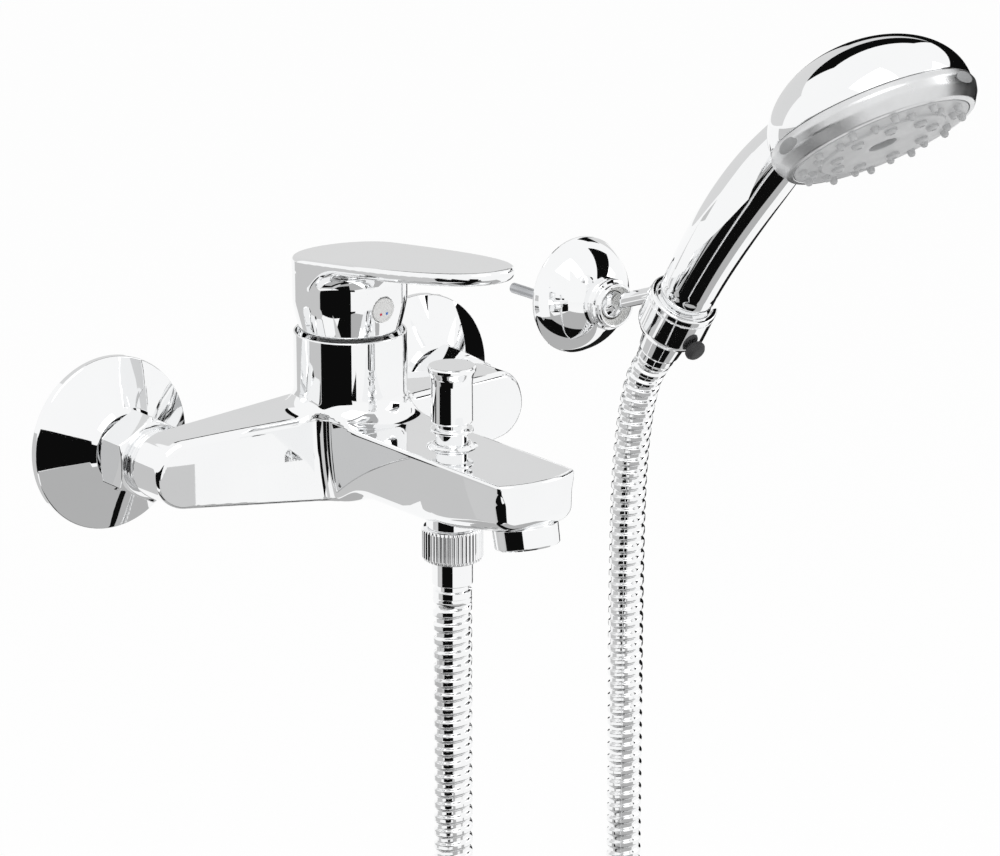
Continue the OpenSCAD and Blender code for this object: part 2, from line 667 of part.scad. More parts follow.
// Wall bracket
module bracket_plate() {
    color(steel) translate([bracket_x, 0, bracket_z]) outward() difference() {
        union() {
            cylinder(r = dome_d / 2 - 3.5, h = 3);
            cylinder(r = 9.8, h = ball_out - 3);
        }
        translate([0, 0, ball_out]) sphere(r = seat_r + gap);
        for (s = [-1, 1]) translate([s * screw_spacing / 2, 0, -1]) cylinder(d = screw_d + 2.4, h = 10);
    }
}
module bracket_screws() {
    color(steel) for (s = [-1, 1]) translate([bracket_x + s * screw_spacing / 2, 0, bracket_z]) {
        translate([0, 25, 0]) outward() cylinder(d = screw_d, h = 28);
        translate([0, -3, 0]) outward() cylinder(d = screw_d + 3.4, h = 2);
    }
}
module bracket_dome() {
    r = dome_d / 2;
    ball = (r * r + dome_h * dome_h) / (2 * dome_h);
    color(chrome) translate([bracket_x, 0, bracket_z]) outward() difference() {
        intersection() {
            translate([0, 0, dome_h - ball]) sphere(r = ball);
            cylinder(r = r, h = dome_h);
        }
        intersection() {
            translate([0, 0, dome_h - ball]) sphere(r = ball - 2);
            translate([0, 0, -1]) cylinder(r = r - 2, h = dome_h);
        }
        translate([0, 0, 4]) cylinder(r = collar_r, h = 40);
    }
}
module bracket_collar() {
    color(chrome) translate([bracket_x, 0, bracket_z]) outward() difference() {
        union() {
            translate([0, 0, 13]) cylinder(r = collar_r, h = 9);
            translate([0, 0, 21]) cylinder(r = collar_r - 1.6, h = 4.4);
        }
        translate([0, 0, 12]) cylinder(r = 9.8, h = ball_out - 15);
        translate([0, 0, ball_out]) sphere(r = seat_r + gap);
        translate([0, 0, ball_out]) cylinder(r = collar_r - 2.8, h = 20);
    }
}
module ball_seat() {
    color(white_plastic) translate([bracket_x, 0, bracket_z]) outward() difference() {
        translate([0, 0, ball_out]) sphere(r = seat_r);
        translate([0, 0, ball_out]) sphere(r = ball_r + gap);
        translate([0, 0, ball_out + 2.6]) cylinder(r = 20, h = 20);
    }
}
module ball_arm() {
    tip = [holder_out - cup_r * sin(holder_tilt), cup_rise + cup_r * cos(holder_tilt)];
    reach = tip - [ball_out, 0];
    color(chrome) side_plane() translate([ball_out, bracket_z, 0]) {
        rotate([0, 0, atan2(reach[1], reach[0])]) rotate([0, 90, 0]) {
            sphere(r = ball_r);
            cylinder(d = arm_rod_d, h = norm(reach) + 0.8);
        }
    }
}
module holder_cup() {
    color(chrome) difference() {
        holder_axis() difference() {
            rotate_extrude() polygon([[0, -cup_half], [cup_r - 2, -cup_half], [cup_r, -cup_half + 3],
                [cup_r, cup_half - 1], [cup_r - 0.8, cup_half], [0, cup_half]]);
            translate([0, 0, -cup_half - 1]) cylinder(r = nut_top_r + gap, h = 40);
            translate([-ferrule_r - 0.4, 0, -cup_half - 1]) cube([2 * ferrule_r + 0.8, 30, 40]);
        }
        ball_arm();
        holder_axis() translate([0, 0, -4]) rotate([0, 90, 0]) cylinder(r = 2, h = 40);
    }
}
module holder_knob() {
    color(rubber) holder_axis() translate([cup_r - 1.5, 0, -4]) rotate([0, 90, 0]) {
        cylinder(r = 2, h = 4);
        translate([0, 0, 2.2]) cylinder(r = 4.6, h = 4.5);
    }
}

// Hand shower
module handset_inlet() {
    color(chrome) holder_axis() translate([0, 0, -6 + flange_t + washer_t]) tube(9.6, 6, handle_start + 9);
}
module handset_handle() {
    color(chrome) {
        difference() {
            union() {
                holder_axis() translate([0, 0, handle_start]) rotate_extrude()
                    polygon([[0, 0], [handle_r - 1.6, 0], [handle_r - 0.4, 3], [handle_r - 0.4, plug_l + 1], [0, plug_l + 1]]);
                side_plane() translate([arc_mid[0], arc_mid[1], 0]) rotate([0, 0, 90 + neck_tilt])
                    rotate_extrude(angle = holder_tilt - neck_tilt) translate([arc_r, 0]) circle(r = handle_r);
            }
            holder_axis() translate([0, 0, handle_start - 1]) cylinder(r = 9.6, h = 8);
            side_plane() translate([arc_mid[0], arc_mid[1], 0]) rotate([0, 0, 90 + neck_tilt - 0.5])
                rotate_extrude(angle = holder_tilt - neck_tilt + 1.2) translate([arc_r, 0]) circle(r = handle_r - 4);
            head_axis() head_back(0);
            head_axis() translate([0, 0, -2 * ring_h]) cylinder(r = head_r + gap, h = 2 * ring_h);
        }
    }
}
// Solid of the head's domed back, shrunk for its hollow
module head_back(wall) {
    rotate_extrude() polygon(concat([[0, 0]], [for (a = [0 : 7.5 : 90])
        [(head_r - 1 - wall) * cos(a), (head_h - wall) * sin(a)]]));
}
module head_shell() {
    color(chrome) difference() {
        head_axis() head_back(0);
        head_axis() translate([0, 0, -eps]) head_back(2.2);
        side_plane() translate([arc_mid[0], arc_mid[1], 0]) rotate([0, 0, 90 + neck_tilt - 8])
            rotate_extrude(angle = 12) translate([arc_r, 0]) circle(r = handle_r - 4);
    }
}
module spray_distributor() {
    color(white_plastic) head_axis() difference() {
        union() {
            translate([0, 0, -1]) cylinder(r = head_r - 6 - gap, h = 4);
            translate([0, 0, -ring_h + 3]) cylinder(r = 6, h = ring_h);
        }
        for (a = [0 : 45 : 315]) rotate([0, 0, a]) translate([24, 0, -3]) cylinder(r = 3, h = 10);
    }
}
module spray_ring() {
    color(satin) head_axis() difference() {
        rotate_extrude() polygon([[head_r - 6, -gap], [head_r - 1.2, -gap], [head_r, -3], [head_r - 0.6, -6],
            [head_r - 4, -ring_h + 1], [head_r - 6, -ring_h + 1]]);
        for (a = [60 : 120 : 300]) rotate([0, 0, a]) translate([head_r + 0.8, 0, -4.5])
            rotate([0, 90, 0]) cylinder(r = 4, h = 3, center = true);
    }
}
module spray_face() {
    color(grey_plastic) head_axis() difference() {
        translate([0, 0, -ring_h]) cylinder(r = head_r - 6, h = 4);
        translate([0, 0, -ring_h - 1]) cylinder(r = 6 + gap, h = 10);
        nozzle_sites() translate([0, 0, -1]) cylinder(r = 1.6, h = 10);
    }
}
module nozzle_sites() {
    for (i = [0 : 23]) rotate([0, 0, 15 * i]) translate([head_r - (i % 2 == 0 ? 10 : 14), 0, -ring_h]) children();
    for (i = [0 : 8]) rotate([0, 0, 40 * i]) translate([head_r - 24, 0, -ring_h]) children();
}
module spray_nozzles() {
    color(white_plastic) head_axis() nozzle_sites() translate([0, 0, -2]) tube(1.6, 0.7, 6);
}
module face_screw() {
    color(steel) head_axis() translate([0, 0, -ring_h + 1]) cylinder(r = 3, h = 2);
}

mixer_body();
wall_union_left();
wall_union_right();
rosette_left();
rosette_right();
union_nut_left();
union_nut_right();
inlet_washers();
cartridge_housing();
cartridge_seals();
fixed_disc();
moving_disc();
disc_carrier();
cartridge_turret();
stem_pin();
lever_stem();
cartridge_nut();
lever_handle();
lever_grub_screw();
index_plug();
diverter_bonnet();
diverter_stem();
diverter_seal();
diverter_spring();
diverter_knob();
aerator_housing();
aerator_insert();
aerator_washer();
shower_nipple();
check_valve();
hose_nut();
hose_washer_lower();
ferrule_lower();
shower_hose();
ferrule_upper();
cone_nut();
hose_washer_upper();
bracket_plate();
bracket_screws();
bracket_dome();
bracket_collar();
ball_seat();
ball_arm();
holder_cup();
holder_knob();
handset_inlet();
handset_handle();
head_shell();
spray_distributor();
spray_ring();
spray_face();
spray_nozzles();
face_screw();
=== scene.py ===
"""Looks of a bath shower mixer with its hand shower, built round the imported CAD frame.

Shapes are written in millimetres in the part's own frame: origin midway between the inlets on the wall,
X along the wall, Y into the wall, Z up. They become metres when a piece is made. The studio is in metres.
"""

import json
import math

import bpy
import numpy as np
import openvdb
from mathutils import Matrix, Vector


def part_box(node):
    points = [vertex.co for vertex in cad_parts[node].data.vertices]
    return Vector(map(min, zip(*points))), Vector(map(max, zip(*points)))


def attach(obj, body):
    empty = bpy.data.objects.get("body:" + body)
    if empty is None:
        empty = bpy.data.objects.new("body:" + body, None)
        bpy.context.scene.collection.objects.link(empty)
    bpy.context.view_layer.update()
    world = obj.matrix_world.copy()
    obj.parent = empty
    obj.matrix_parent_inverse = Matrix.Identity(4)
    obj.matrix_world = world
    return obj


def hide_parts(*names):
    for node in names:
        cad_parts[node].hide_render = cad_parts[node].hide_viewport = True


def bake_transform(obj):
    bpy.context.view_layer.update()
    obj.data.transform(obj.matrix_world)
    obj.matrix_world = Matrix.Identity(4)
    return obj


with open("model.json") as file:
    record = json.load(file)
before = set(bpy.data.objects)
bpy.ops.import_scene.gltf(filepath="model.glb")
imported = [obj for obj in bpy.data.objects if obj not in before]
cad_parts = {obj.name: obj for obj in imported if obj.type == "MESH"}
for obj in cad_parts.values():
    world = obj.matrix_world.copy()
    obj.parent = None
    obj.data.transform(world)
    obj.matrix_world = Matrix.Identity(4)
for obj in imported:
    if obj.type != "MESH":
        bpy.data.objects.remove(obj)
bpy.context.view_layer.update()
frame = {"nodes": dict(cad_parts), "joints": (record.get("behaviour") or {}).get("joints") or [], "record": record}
scene = bpy.context.scene
scene.view_settings.view_transform = "Standard"

MM = 0.001
TINY = 1e-6

# Sides of a lathe piece and of a large one, and the fillet of a corner that names none
SIDES = 128
LARGE_SIDES = 192
EDGE = 0.25
FILLET_SHARE = 0.45


# Places taken from the frame


def joint(name):
    return next(j for j in frame["joints"] if j["name"] == name)


def spot(name):
    """Where a joint's axis passes, in millimetres."""
    return np.array(joint(name)["pos_m"]) / MM


def box(node):
    """Lowest and highest corner of a CAD node, in millimetres."""
    return [np.array(corner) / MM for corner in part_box(node)]


def middle(node):
    low, high = box(node)
    return (low + high) / 2


def unit(vector):
    return np.asarray(vector, float) / np.linalg.norm(vector)


def units(vectors):
    """Each row of vectors made one long."""
    return vectors / np.maximum(np.linalg.norm(vectors, axis=1), 1e-9)[:, None]


def axes(origin, z_axis, x_axis=(1.0, 0.0, 0.0)):
    """Matrix that stands local Z along z_axis at origin, with local X near x_axis."""
    z = unit(z_axis)
    x = unit(np.asarray(x_axis) - z * np.dot(x_axis, z))
    matrix = np.eye(4)
    matrix[:3, :3] = np.column_stack([x, np.cross(z, x), z])
    matrix[:3, 3] = origin
    return matrix


OUTWARD = (0.0, -1.0, 0.0)
UPWARD = (0.0, 0.0, 1.0)
INLET_X = middle("rosette_right")[0]
TOWER_Y = spot("lever_swivel")[1]
TOWER_R = 22.0
SEAM_Z = box("mixer_body")[1][2]
DIVERTER_Y = middle("diverter_knob")[1]
BALL = spot("holder_pan")
LIFT = unit(joint("handset_lift")["axis"])
CUP = np.array([BALL[0], -63.0, 24.0])
CUP_HALF = 10.0
HEAD = spot("spray_turn")
HEAD_BACK = unit(joint("spray_turn")["axis"])
HEAD_AXES = axes(HEAD, HEAD_BACK)
HEAD_R = 42.0


# Materials

NOISE_LOW = 0.3
NOISE_HIGH = 0.7


def noise(tree, scale, detail=4.0):
    """Noise over the object's own coordinates, in features per metre."""
    place = tree.nodes.new("ShaderNodeTexCoord")
    texture = tree.nodes.new("ShaderNodeTexNoise")
    texture.inputs["Scale"].default_value = scale
    texture.inputs["Detail"].default_value = detail
    tree.links.new(place.outputs["Object"], texture.inputs["Vector"])
    return texture.outputs["Fac"]


def spread(tree, value, low, high):
    """A noise's middle range stretched over low to high."""
    node = tree.nodes.new("ShaderNodeMapRange")
    node.inputs["From Min"].default_value = NOISE_LOW
    node.inputs["From Max"].default_value = NOISE_HIGH
    node.inputs["To Min"].default_value = low
    node.inputs["To Max"].default_value = high
    tree.links.new(value, node.inputs["Value"])
    return node.outputs["Result"]


def finish_of(name, colour, shade, rough, metallic, coarse, fine, relief):
    """A surface whose colour wanders between two shades, with uneven gloss and a fine relief."""
    material = bpy.data.materials.new(name)
    material.use_nodes = True
    tree = material.node_tree
    shader = tree.nodes["Principled BSDF"]
    shader.inputs["Metallic"].default_value = metallic
    clouds = noise(tree, coarse)
    mix = tree.nodes.new("ShaderNodeMix")
    mix.data_type = "RGBA"
    mix.inputs["A"].default_value = (*colour, 1.0)
    mix.inputs["B"].default_value = (*[c * shade for c in colour], 1.0)
    tree.links.new(spread(tree, clouds, 0.0, 1.0), mix.inputs["Factor"])
    tree.links.new(mix.outputs["Result"], shader.inputs["Base Color"])
    tree.links.new(spread(tree, clouds, *rough), shader.inputs["Roughness"])
    bump = tree.nodes.new("ShaderNodeBump")
    bump.inputs["Strength"].default_value = 1.0
    bump.inputs["Distance"].default_value = relief
    tree.links.new(noise(tree, fine), bump.inputs["Height"])
    tree.links.new(bump.outputs["Normal"], shader.inputs["Normal"])
    return material


# Name, colour, darker shade's share, roughness, metallic, clouds and grain per metre, relief in metres
FINISHES = [
    ("chrome", (0.93, 0.935, 0.94), 0.985, (0.015, 0.04), 1.0, 40, 90, 0.000004),
    ("brass", (0.72, 0.58, 0.33), 0.85, (0.22, 0.36), 1.0, 90, 900, 0.00002),
    ("steel", (0.56, 0.57, 0.59), 0.88, (0.25, 0.4), 1.0, 120, 1200, 0.00002),
    ("rubber", (0.035, 0.035, 0.037), 0.75, (0.5, 0.68), 0.0, 200, 1500, 0.00004),
    ("white_plastic", (0.86, 0.86, 0.84), 0.97, (0.28, 0.38), 0.0, 150, 1800, 0.00001),
    ("index_white", (0.97, 0.97, 0.96), 0.98, (0.25, 0.32), 0.0, 150, 1800, 0.00001),
    ("grey_plastic", (0.6, 0.605, 0.61), 0.94, (0.3, 0.42), 0.0, 150, 1800, 0.00001),
    ("satin_ring", (0.74, 0.745, 0.75), 0.94, (0.26, 0.36), 1.0, 160, 2500, 0.00002),
    ("ceramic", (0.88, 0.86, 0.82), 0.95, (0.18, 0.28), 0.0, 300, 2000, 0.000005),
    ("grip", (0.36, 0.365, 0.37), 0.9, (0.45, 0.6), 0.0, 200, 2500, 0.00002),
    ("red_dot", (0.75, 0.06, 0.1), 0.9, (0.3, 0.4), 0.0, 300, 2000, 0.000005),
    ("blue_dot", (0.05, 0.2, 0.7), 0.9, (0.3, 0.4), 0.0, 300, 2000, 0.000005),
]
LOOKS = {finish[0]: finish_of(*finish) for finish in FINISHES}

for part in frame["record"]["subparts"]:
    solid = frame["nodes"][part["node"]]
    solid.data.materials.clear()
    solid.data.materials.append(LOOKS[part["material_slot"]])


# Making pieces


def add_piece(name, points, faces, normals, look, body, nodes=(), place=None):
    """A smooth mesh in millimetres, stood at place, riding on a body and standing for CAD nodes."""
    place = np.eye(4) if place is None else place
    turn = place[:3, :3]
    mesh = bpy.data.meshes.new(name)
    mesh.from_pydata(((points @ turn.T + place[:3, 3]) * MM).tolist(), [], faces)
    mesh.shade_smooth()
    if normals is not None:
        mesh.normals_split_custom_set_from_vertices((normals @ turn.T).tolist())
    mesh.materials.append(LOOKS[look])
    piece = bpy.data.objects.new(name, mesh)
    scene.collection.objects.link(piece)
    if body:
        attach(piece, body)
    if nodes:
        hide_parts(*nodes)
    return piece


def spin(sides):
    """The angles of evenly spaced sides."""
    return np.arange(sides) * 2 * math.pi / sides


def rounded(corners, closed=False, steps=5):
    """Points and normals along corners, the outside on the right of the way.

    A corner is (radius, height, fillet), or (radius, height, normal's radius, normal's height) on a curve.
    """
    spots = [np.array(corner[:2], float) for corner in corners]
    points = []
    normals = []

    def put(point, way):
        points.append(point)
        normals.append([way[1], -way[0]])

    for i, corner in enumerate(corners):
        if len(corner) == 4:
            points.append(spots[i])
            normals.append(unit(corner[2:]))
            continue
        if not closed and i in (0, len(corners) - 1):
            put(spots[i], unit(spots[1] - spots[0] if i == 0 else spots[-1] - spots[-2]))
            continue
        before = spots[i] - spots[i - 1]
        after = spots[(i + 1) % len(spots)] - spots[i]
        way = unit(before)
        cross = before[0] * after[1] - before[1] * after[0]
        turn = math.atan2(cross, before @ after)
        half = abs(math.tan(turn / 2))
        if half < TINY:
            put(spots[i], way)
            continue
        fillet = corner[2] if len(corner) > 2 else EDGE
        room = FILLET_SHARE * min(np.linalg.norm(before), np.linalg.norm(after))
        reach = min(fillet * half, room)
        radius = math.copysign(reach / half, turn)
        centre = spots[i] - way * reach + radius * np.array([-way[1], way[0]])
        for k in range(steps + 1):
            c, s = math.cos(turn * k / steps), math.sin(turn * k / steps)
            now = np.array([way[0] * c - way[1] * s, way[0] * s + way[1] * c])
            put(centre - radius * np.array([-now[1], now[0]]), now)
    return np.array(points), np.array(normals)


def turned(name, corners, look, body, nodes, place, closed=False, sides=SIDES, swell=None):
    """A lathe piece round local Z. swell(angle, height) scales the radius."""
    line, ways = rounded(corners, closed)
    angles = spin(sides)
    points = []
    normals = []
    rings = []
    for (r, h), (nr, nh) in zip(line, ways):
        rings.append(len(points))
        if r < TINY:
            points.append([0.0, 0.0, h])
            normals.append([0.0, 0.0, math.copysign(1.0, nh)])
            continue
        for a in angles:
            rr = r * swell(a, h) if swell else r
            points.append([rr * math.cos(a), rr * math.sin(a), h])
            normals.append([nr * math.cos(a), nr * math.sin(a), nh])
    faces = []
    last = len(rings) if closed else len(rings) - 1
    for k in range(last):
        following = (k + 1) % len(rings)
        a, b = rings[k], rings[following]
        pole_a, pole_b = line[k][0] < TINY, line[following][0] < TINY
        for j in range(sides):
            q = (j + 1) % sides
            if pole_a and pole_b:
                continue
            if pole_a:
                faces.append([a, b + q, b + j])
            elif pole_b:
                faces.append([a + j, a + q, b])
            else:
                faces.append([a + j, a + q, b + q, b + j])
    smooth = None if swell else np.array(normals)
    return add_piece(name, np.array(points), faces, smooth, look, body, nodes, place)


def skin(name, rings, look, body, nodes=(), ends=(True, True)):
    """A closed skin over rings of points, with a fan at each end that is wanted."""
    m, n = rings.shape[:2]
    points = rings.reshape(-1, 3)
    faces = [
        [i * n + j, i * n + (j + 1) % n, (i + 1) * n + (j + 1) % n, (i + 1) * n + j]
        for i in range(m - 1)
        for j in range(n)
    ]
    along = np.gradient(rings, axis=0)
    round_it = np.roll(rings, -1, axis=1) - np.roll(rings, 1, axis=1)
    normals = units(np.cross(round_it, along).reshape(-1, 3))
    for ring, wanted in ((0, ends[0]), (m - 1, ends[1])):
        if wanted:
            hub = len(points)
            points = np.vstack([points, rings[ring].mean(axis=0)])
            way = rings[ring].mean(axis=0) - rings[1 if ring == 0 else m - 2].mean(axis=0)
            normals = np.vstack([normals, unit(way)])
            for j in range(n):
                fan = [ring * n + j, ring * n + (j + 1) % n, hub]
                faces.append(fan[::-1] if ring == 0 else fan)
    return add_piece(name, points, faces, normals, look, body, nodes)


# Fields: distance to a surface, negative inside, in millimetres

FAR_OUTSIDE = 10.0
LEAST_SLOPE = 0.05
PULLS = 4


def length(a, b):
    return np.sqrt(a * a + b * b)


def ease(value, low, high):
    """0 at low, 1 at high, smooth between."""
    t = np.clip((value - low) / (high - low), 0.0, 1.0)
    return t * t * (3 - 2 * t)


def join(a, b, fillet):
    """Both solids, with a concave fillet where they meet."""
    corner = length(np.maximum(fillet - a, 0), np.maximum(fillet - b, 0))
    return np.maximum(fillet, np.minimum(a, b)) - corner


def meet(a, b, edge):
    """What both solids share, with a rounded edge."""
    corner = length(np.maximum(edge + a, 0), np.maximum(edge + b, 0))
    return np.minimum(-edge, np.maximum(a, b)) + corner


def slope(field, points, reach=0.02):
    """Gradient of a field at points."""
    columns = []
    for k in range(3):
        step = np.zeros(3)
        step[k] = reach
        ahead = field(*(points + step).T)
        columns.append((ahead - field(*(points - step).T)) / (2 * reach))
    return np.column_stack(columns)


def cast(name, field, low, high, step, look, body, nodes=(), place=None):
    """A piece whose surface is where a field is zero, with the field's own normals."""
    low = np.asarray(low, float) - 2 * step
    counts = np.ceil((np.asarray(high) + 2 * step - low) / step).astype(int)
    ticks = [low[k] + step * np.arange(counts[k]) for k in range(3)]
    grid = openvdb.FloatGrid(FAR_OUTSIDE)
    grid.copyFromArray(field(*np.meshgrid(*ticks, indexing="ij")).astype(np.float32))
    points, quads = grid.convertToQuads(0.0)
    points = low + step * np.asarray(points, float)
    # The grid's points are pulled on to the true surface
    for _ in range(PULLS):
        ways = slope(field, points)
        size = np.maximum((ways * ways).sum(axis=1), LEAST_SLOPE)
        shift = np.clip(field(*points.T) / size, -step, step)
        points = points - ways * shift[:, None]
    normals = units(slope(field, points))
    a, b, c = (points[quads[:, k]] for k in (0, 1, 2))
    facing = (np.cross(b - a, c - b) * normals[quads[:, 0]]).sum(axis=1)
    if np.median(facing) < 0:
        quads = quads[:, ::-1]
    return add_piece(name, points, np.asarray(quads).tolist(), normals, look, body, nodes, place)


# Camera, light and stage

CAMERA_AT = (-0.8789, -1.2600, 0.4542)
CAMERA_AZIMUTH = -38.4
CAMERA_ELEVATION = 16.8
LENS = 144.0
SENSOR = 36.0
WORLD_FILL = 0.75
FLOOR_Z = -0.53
FLOOR_REACH = 4.0
FLOOR_GREY = 0.86
FLOOR_GLOW = 1.04
FLOOR_GLOW_SHARE = 0.85
FLOOR_ROUGH = 0.9
LAMP_TARGET = (0.0, -0.1, 0.0)


def make_camera():
    a, e = math.radians(CAMERA_AZIMUTH), math.radians(CAMERA_ELEVATION)
    right = np.array([math.cos(a), math.sin(a), 0.0])
    back = np.array([math.sin(a) * math.cos(e), -math.cos(a) * math.cos(e), math.sin(e)])
    matrix = np.eye(4)
    matrix[:3, :3] = np.column_stack([right, np.cross(back, right), back])
    matrix[:3, 3] = CAMERA_AT
    data = bpy.data.cameras.new("camera")
    data.lens = LENS
    data.sensor_width = SENSOR
    data.sensor_fit = "HORIZONTAL"
    camera = bpy.data.objects.new("camera", data)
    scene.collection.objects.link(camera)
    camera.matrix_world = Matrix(matrix.tolist())
    scene.camera = camera


def shown_rays(tree):
    """1 for rays from the camera and for reflected or refracted ones, 0 for the rest."""
    path = tree.nodes.new("ShaderNodeLightPath")
    total = path.outputs["Is Camera Ray"]
    for other in ("Is Glossy Ray", "Is Transmission Ray"):
        most = tree.nodes.new("ShaderNodeMath")
        most.operation = "MAXIMUM"
        tree.links.new(total, most.inputs[0])
        tree.links.new(path.outputs[other], most.inputs[1])
        total = most.outputs["Value"]
    return total


def make_world():
    """White where it shows, and a dimmer fill as light."""
    world = bpy.data.worlds.new("studio")
    scene.world = world
    world.use_nodes = True
    tree = world.node_tree
    plain = tree.nodes["Background"]
    plain.inputs["Color"].default_value = (1.0, 1.0, 1.0, 1.0)
    plain.inputs["Strength"].default_value = WORLD_FILL
    white = tree.nodes.new("ShaderNodeBackground")
    white.inputs["Color"].default_value = (1.0, 1.0, 1.0, 1.0)
    white.inputs["Strength"].default_value = 1.0
    mix = tree.nodes.new("ShaderNodeMixShader")
    tree.links.new(shown_rays(tree), mix.inputs["Fac"])
    tree.links.new(plain.outputs["Background"], mix.inputs[1])
    tree.links.new(white.outputs["Background"], mix.inputs[2])
    tree.links.new(mix.outputs["Shader"], tree.nodes["World Output"].inputs["Surface"])


def stage_plane(name, corners):
    mesh = bpy.data.meshes.new(name)
    mesh.from_pydata(corners, [], [[0, 1, 2, 3]])
    plane = bpy.data.objects.new(name, mesh)
    scene.collection.objects.link(plane)
    return plane


def at_height(corners, height):
    return [(*corner, height) for corner in corners]


def level_card(low, high, height):
    """Corners of a level card along X and Y."""
    (x_low, y_low), (x_high, y_high) = low, high
    return at_height([(x_low, y_low), (x_high, y_low), (x_high, y_high), (x_low, y_high)], height)


def upright(first, second, low, high):
    """Corners of an upright card over the line from first to second."""
    return [(*first, low), (*second, low), (*second, high), (*first, high)]


def between(first, second, share):
    return tuple(a + share * (b - a) for a, b in zip(first, second))


def make_floor():
    """Pale floor that looks white from the camera and in reflections, and keeps the shadow."""
    reach = FLOOR_REACH
    floor = stage_plane("floor", level_card((-reach, -reach), (reach, reach), FLOOR_Z))
    material = bpy.data.materials.new("floor")
    material.use_nodes = True
    tree = material.node_tree
    shader = tree.nodes["Principled BSDF"]
    shader.inputs["Base Color"].default_value = (FLOOR_GREY, FLOOR_GREY, FLOOR_GREY, 1.0)
    shader.inputs["Roughness"].default_value = FLOOR_ROUGH
    glow = tree.nodes.new("ShaderNodeEmission")
    glow.inputs["Strength"].default_value = FLOOR_GLOW
    share = tree.nodes.new("ShaderNodeMath")
    share.operation = "MULTIPLY"
    share.inputs[1].default_value = FLOOR_GLOW_SHARE
    mix = tree.nodes.new("ShaderNodeMixShader")
    tree.links.new(shown_rays(tree), share.inputs[0])
    tree.links.new(share.outputs["Value"], mix.inputs["Fac"])
    tree.links.new(shader.outputs["BSDF"], mix.inputs[1])
    tree.links.new(glow.outputs["Emission"], mix.inputs[2])
    tree.links.new(mix.outputs["Shader"], tree.nodes["Material Output"].inputs["Surface"])
    floor.data.materials.append(material)


def make_card(name, corners, grey, behind=None):
    """A studio card that shows in metal alone, with another grey on its other side if one is given."""
    card = stage_plane(name, corners)
    material = bpy.data.materials.new(name)
    material.use_nodes = True
    tree = material.node_tree
    side = tree.nodes.new("ShaderNodeNewGeometry")
    mix = tree.nodes.new("ShaderNodeMixShader")
    for socket, shade in ((1, grey), (2, grey if behind is None else behind)):
        glow = tree.nodes.new("ShaderNodeEmission")
        glow.inputs["Color"].default_value = (shade, shade, shade, 1.0)
        tree.links.new(glow.outputs["Emission"], mix.inputs[socket])
    tree.links.new(side.outputs["Backfacing"], mix.inputs["Fac"])
    tree.links.new(mix.outputs["Shader"], tree.nodes["Material Output"].inputs["Surface"])
    card.data.materials.append(material)
    card.visible_camera = False
    card.visible_diffuse = False
    card.visible_shadow = False
    card.visible_transmission = False


def make_lamp(name, place, size, power):
    """A square lamp that points at the mixer."""
    data = bpy.data.lights.new(name, "AREA")
    data.size = size
    data.energy = power
    lamp = bpy.data.objects.new(name, data)
    scene.collection.objects.link(lamp)
    back = unit(np.asarray(place) - np.asarray(LAMP_TARGET))
    lamp.matrix_world = Matrix(axes(place, back, (0.0, 1.0, 0.1)).tolist())


# Greys of the cards: black flags, grey screens and fills, white fills
BLACK = 0.004
NEAR_BLACK = 0.01
LOW_GREY = 0.46
LEFT_GREY = 0.58
SIDE_GREY = 0.62
BACK_GREY = 0.72
WHITE = 1.0

# The front flag's ends, and a third place on the same line
FLAG_FIRST = (-0.179, -0.323)
FLAG_SECOND = (-0.318, -0.025)
FLAG_NEAR = between(FLAG_FIRST, FLAG_SECOND, -0.19)
TAPER_FLAG = [FLAG_FIRST, (-0.205, -0.235), (-0.125, -0.100), (-0.060, -0.147)]
TAPER_FLAG_Z = -0.064
FLOOR_FLAG = [(0.22, -0.32), (-0.45, -0.17), (-0.62, 0.25), (0.22, -0.08)]
FLOOR_FLAG_Z = -0.515
FLOOR_SCREEN_Z = -0.52

make_camera()
make_world()
make_floor()
make_card("front_flag", upright(FLAG_FIRST, FLAG_SECOND, -0.125, 0.025), BLACK)
make_card("corner_flag", upright(FLAG_NEAR, FLAG_FIRST, -0.125, -0.062), BLACK)
make_card("side_fill", upright((-0.058, -0.100), (-0.118, -0.100), -0.085, -0.010), SIDE_GREY)
make_card("nut_fill", upright((-0.0300, -0.105), (0.0065, -0.105), -0.06, -0.0155), WHITE)
make_card("rosette_floor", level_card((-0.125, -0.085), (-0.03, -0.02), -0.12), LOW_GREY)
make_card("taper_flag", at_height(TAPER_FLAG, TAPER_FLAG_Z), BLACK)
make_card("far_flag", upright((-0.62, -0.97), (-1.10, 0.20), -0.52, -0.30), BLACK)
make_card("right_flag", upright((0.362, -0.027), (0.252, 0.253), -0.22, -0.01), NEAR_BLACK)
make_card("floor_flag", at_height(FLOOR_FLAG, FLOOR_FLAG_Z), BLACK)
make_card("rosette_flag", upright((0.120, -0.0125), (0.120, -0.001), 0.0, 0.034), WHITE, BLACK)
make_card("rosette_fill", upright((0.120, -0.062), (0.120, -0.0125), 0.030, 0.0625), WHITE)
make_card("top_fill", upright((0.120, -0.115), (0.120, -0.050), 0.040, 0.110), WHITE)
make_card("arch_flag", upright((0.1, 0.62), (1.1, 0.42), 0.5, 0.95), BLACK)
make_card("head_flag", upright((0.30, -0.30), (0.27, 0.0), 0.09, 0.20), BLACK)
make_card("left_screen", upright((-0.75, -0.02), (-0.05, 0.45), -0.36, 0.02), LEFT_GREY)
make_card("back_screen", upright((-0.2, 0.62), (1.0, 0.42), 0.03, 0.5), BACK_GREY)
make_card("floor_screen", level_card((-0.6, -1.0), (0.46, 0.4), FLOOR_SCREEN_Z), LOW_GREY)
make_lamp("soft_box", (-0.5, -0.9, 1.4), size=1.2, power=6.0)
make_lamp("side_box", (1.2, -0.8, 0.6), size=0.8, power=2.0)


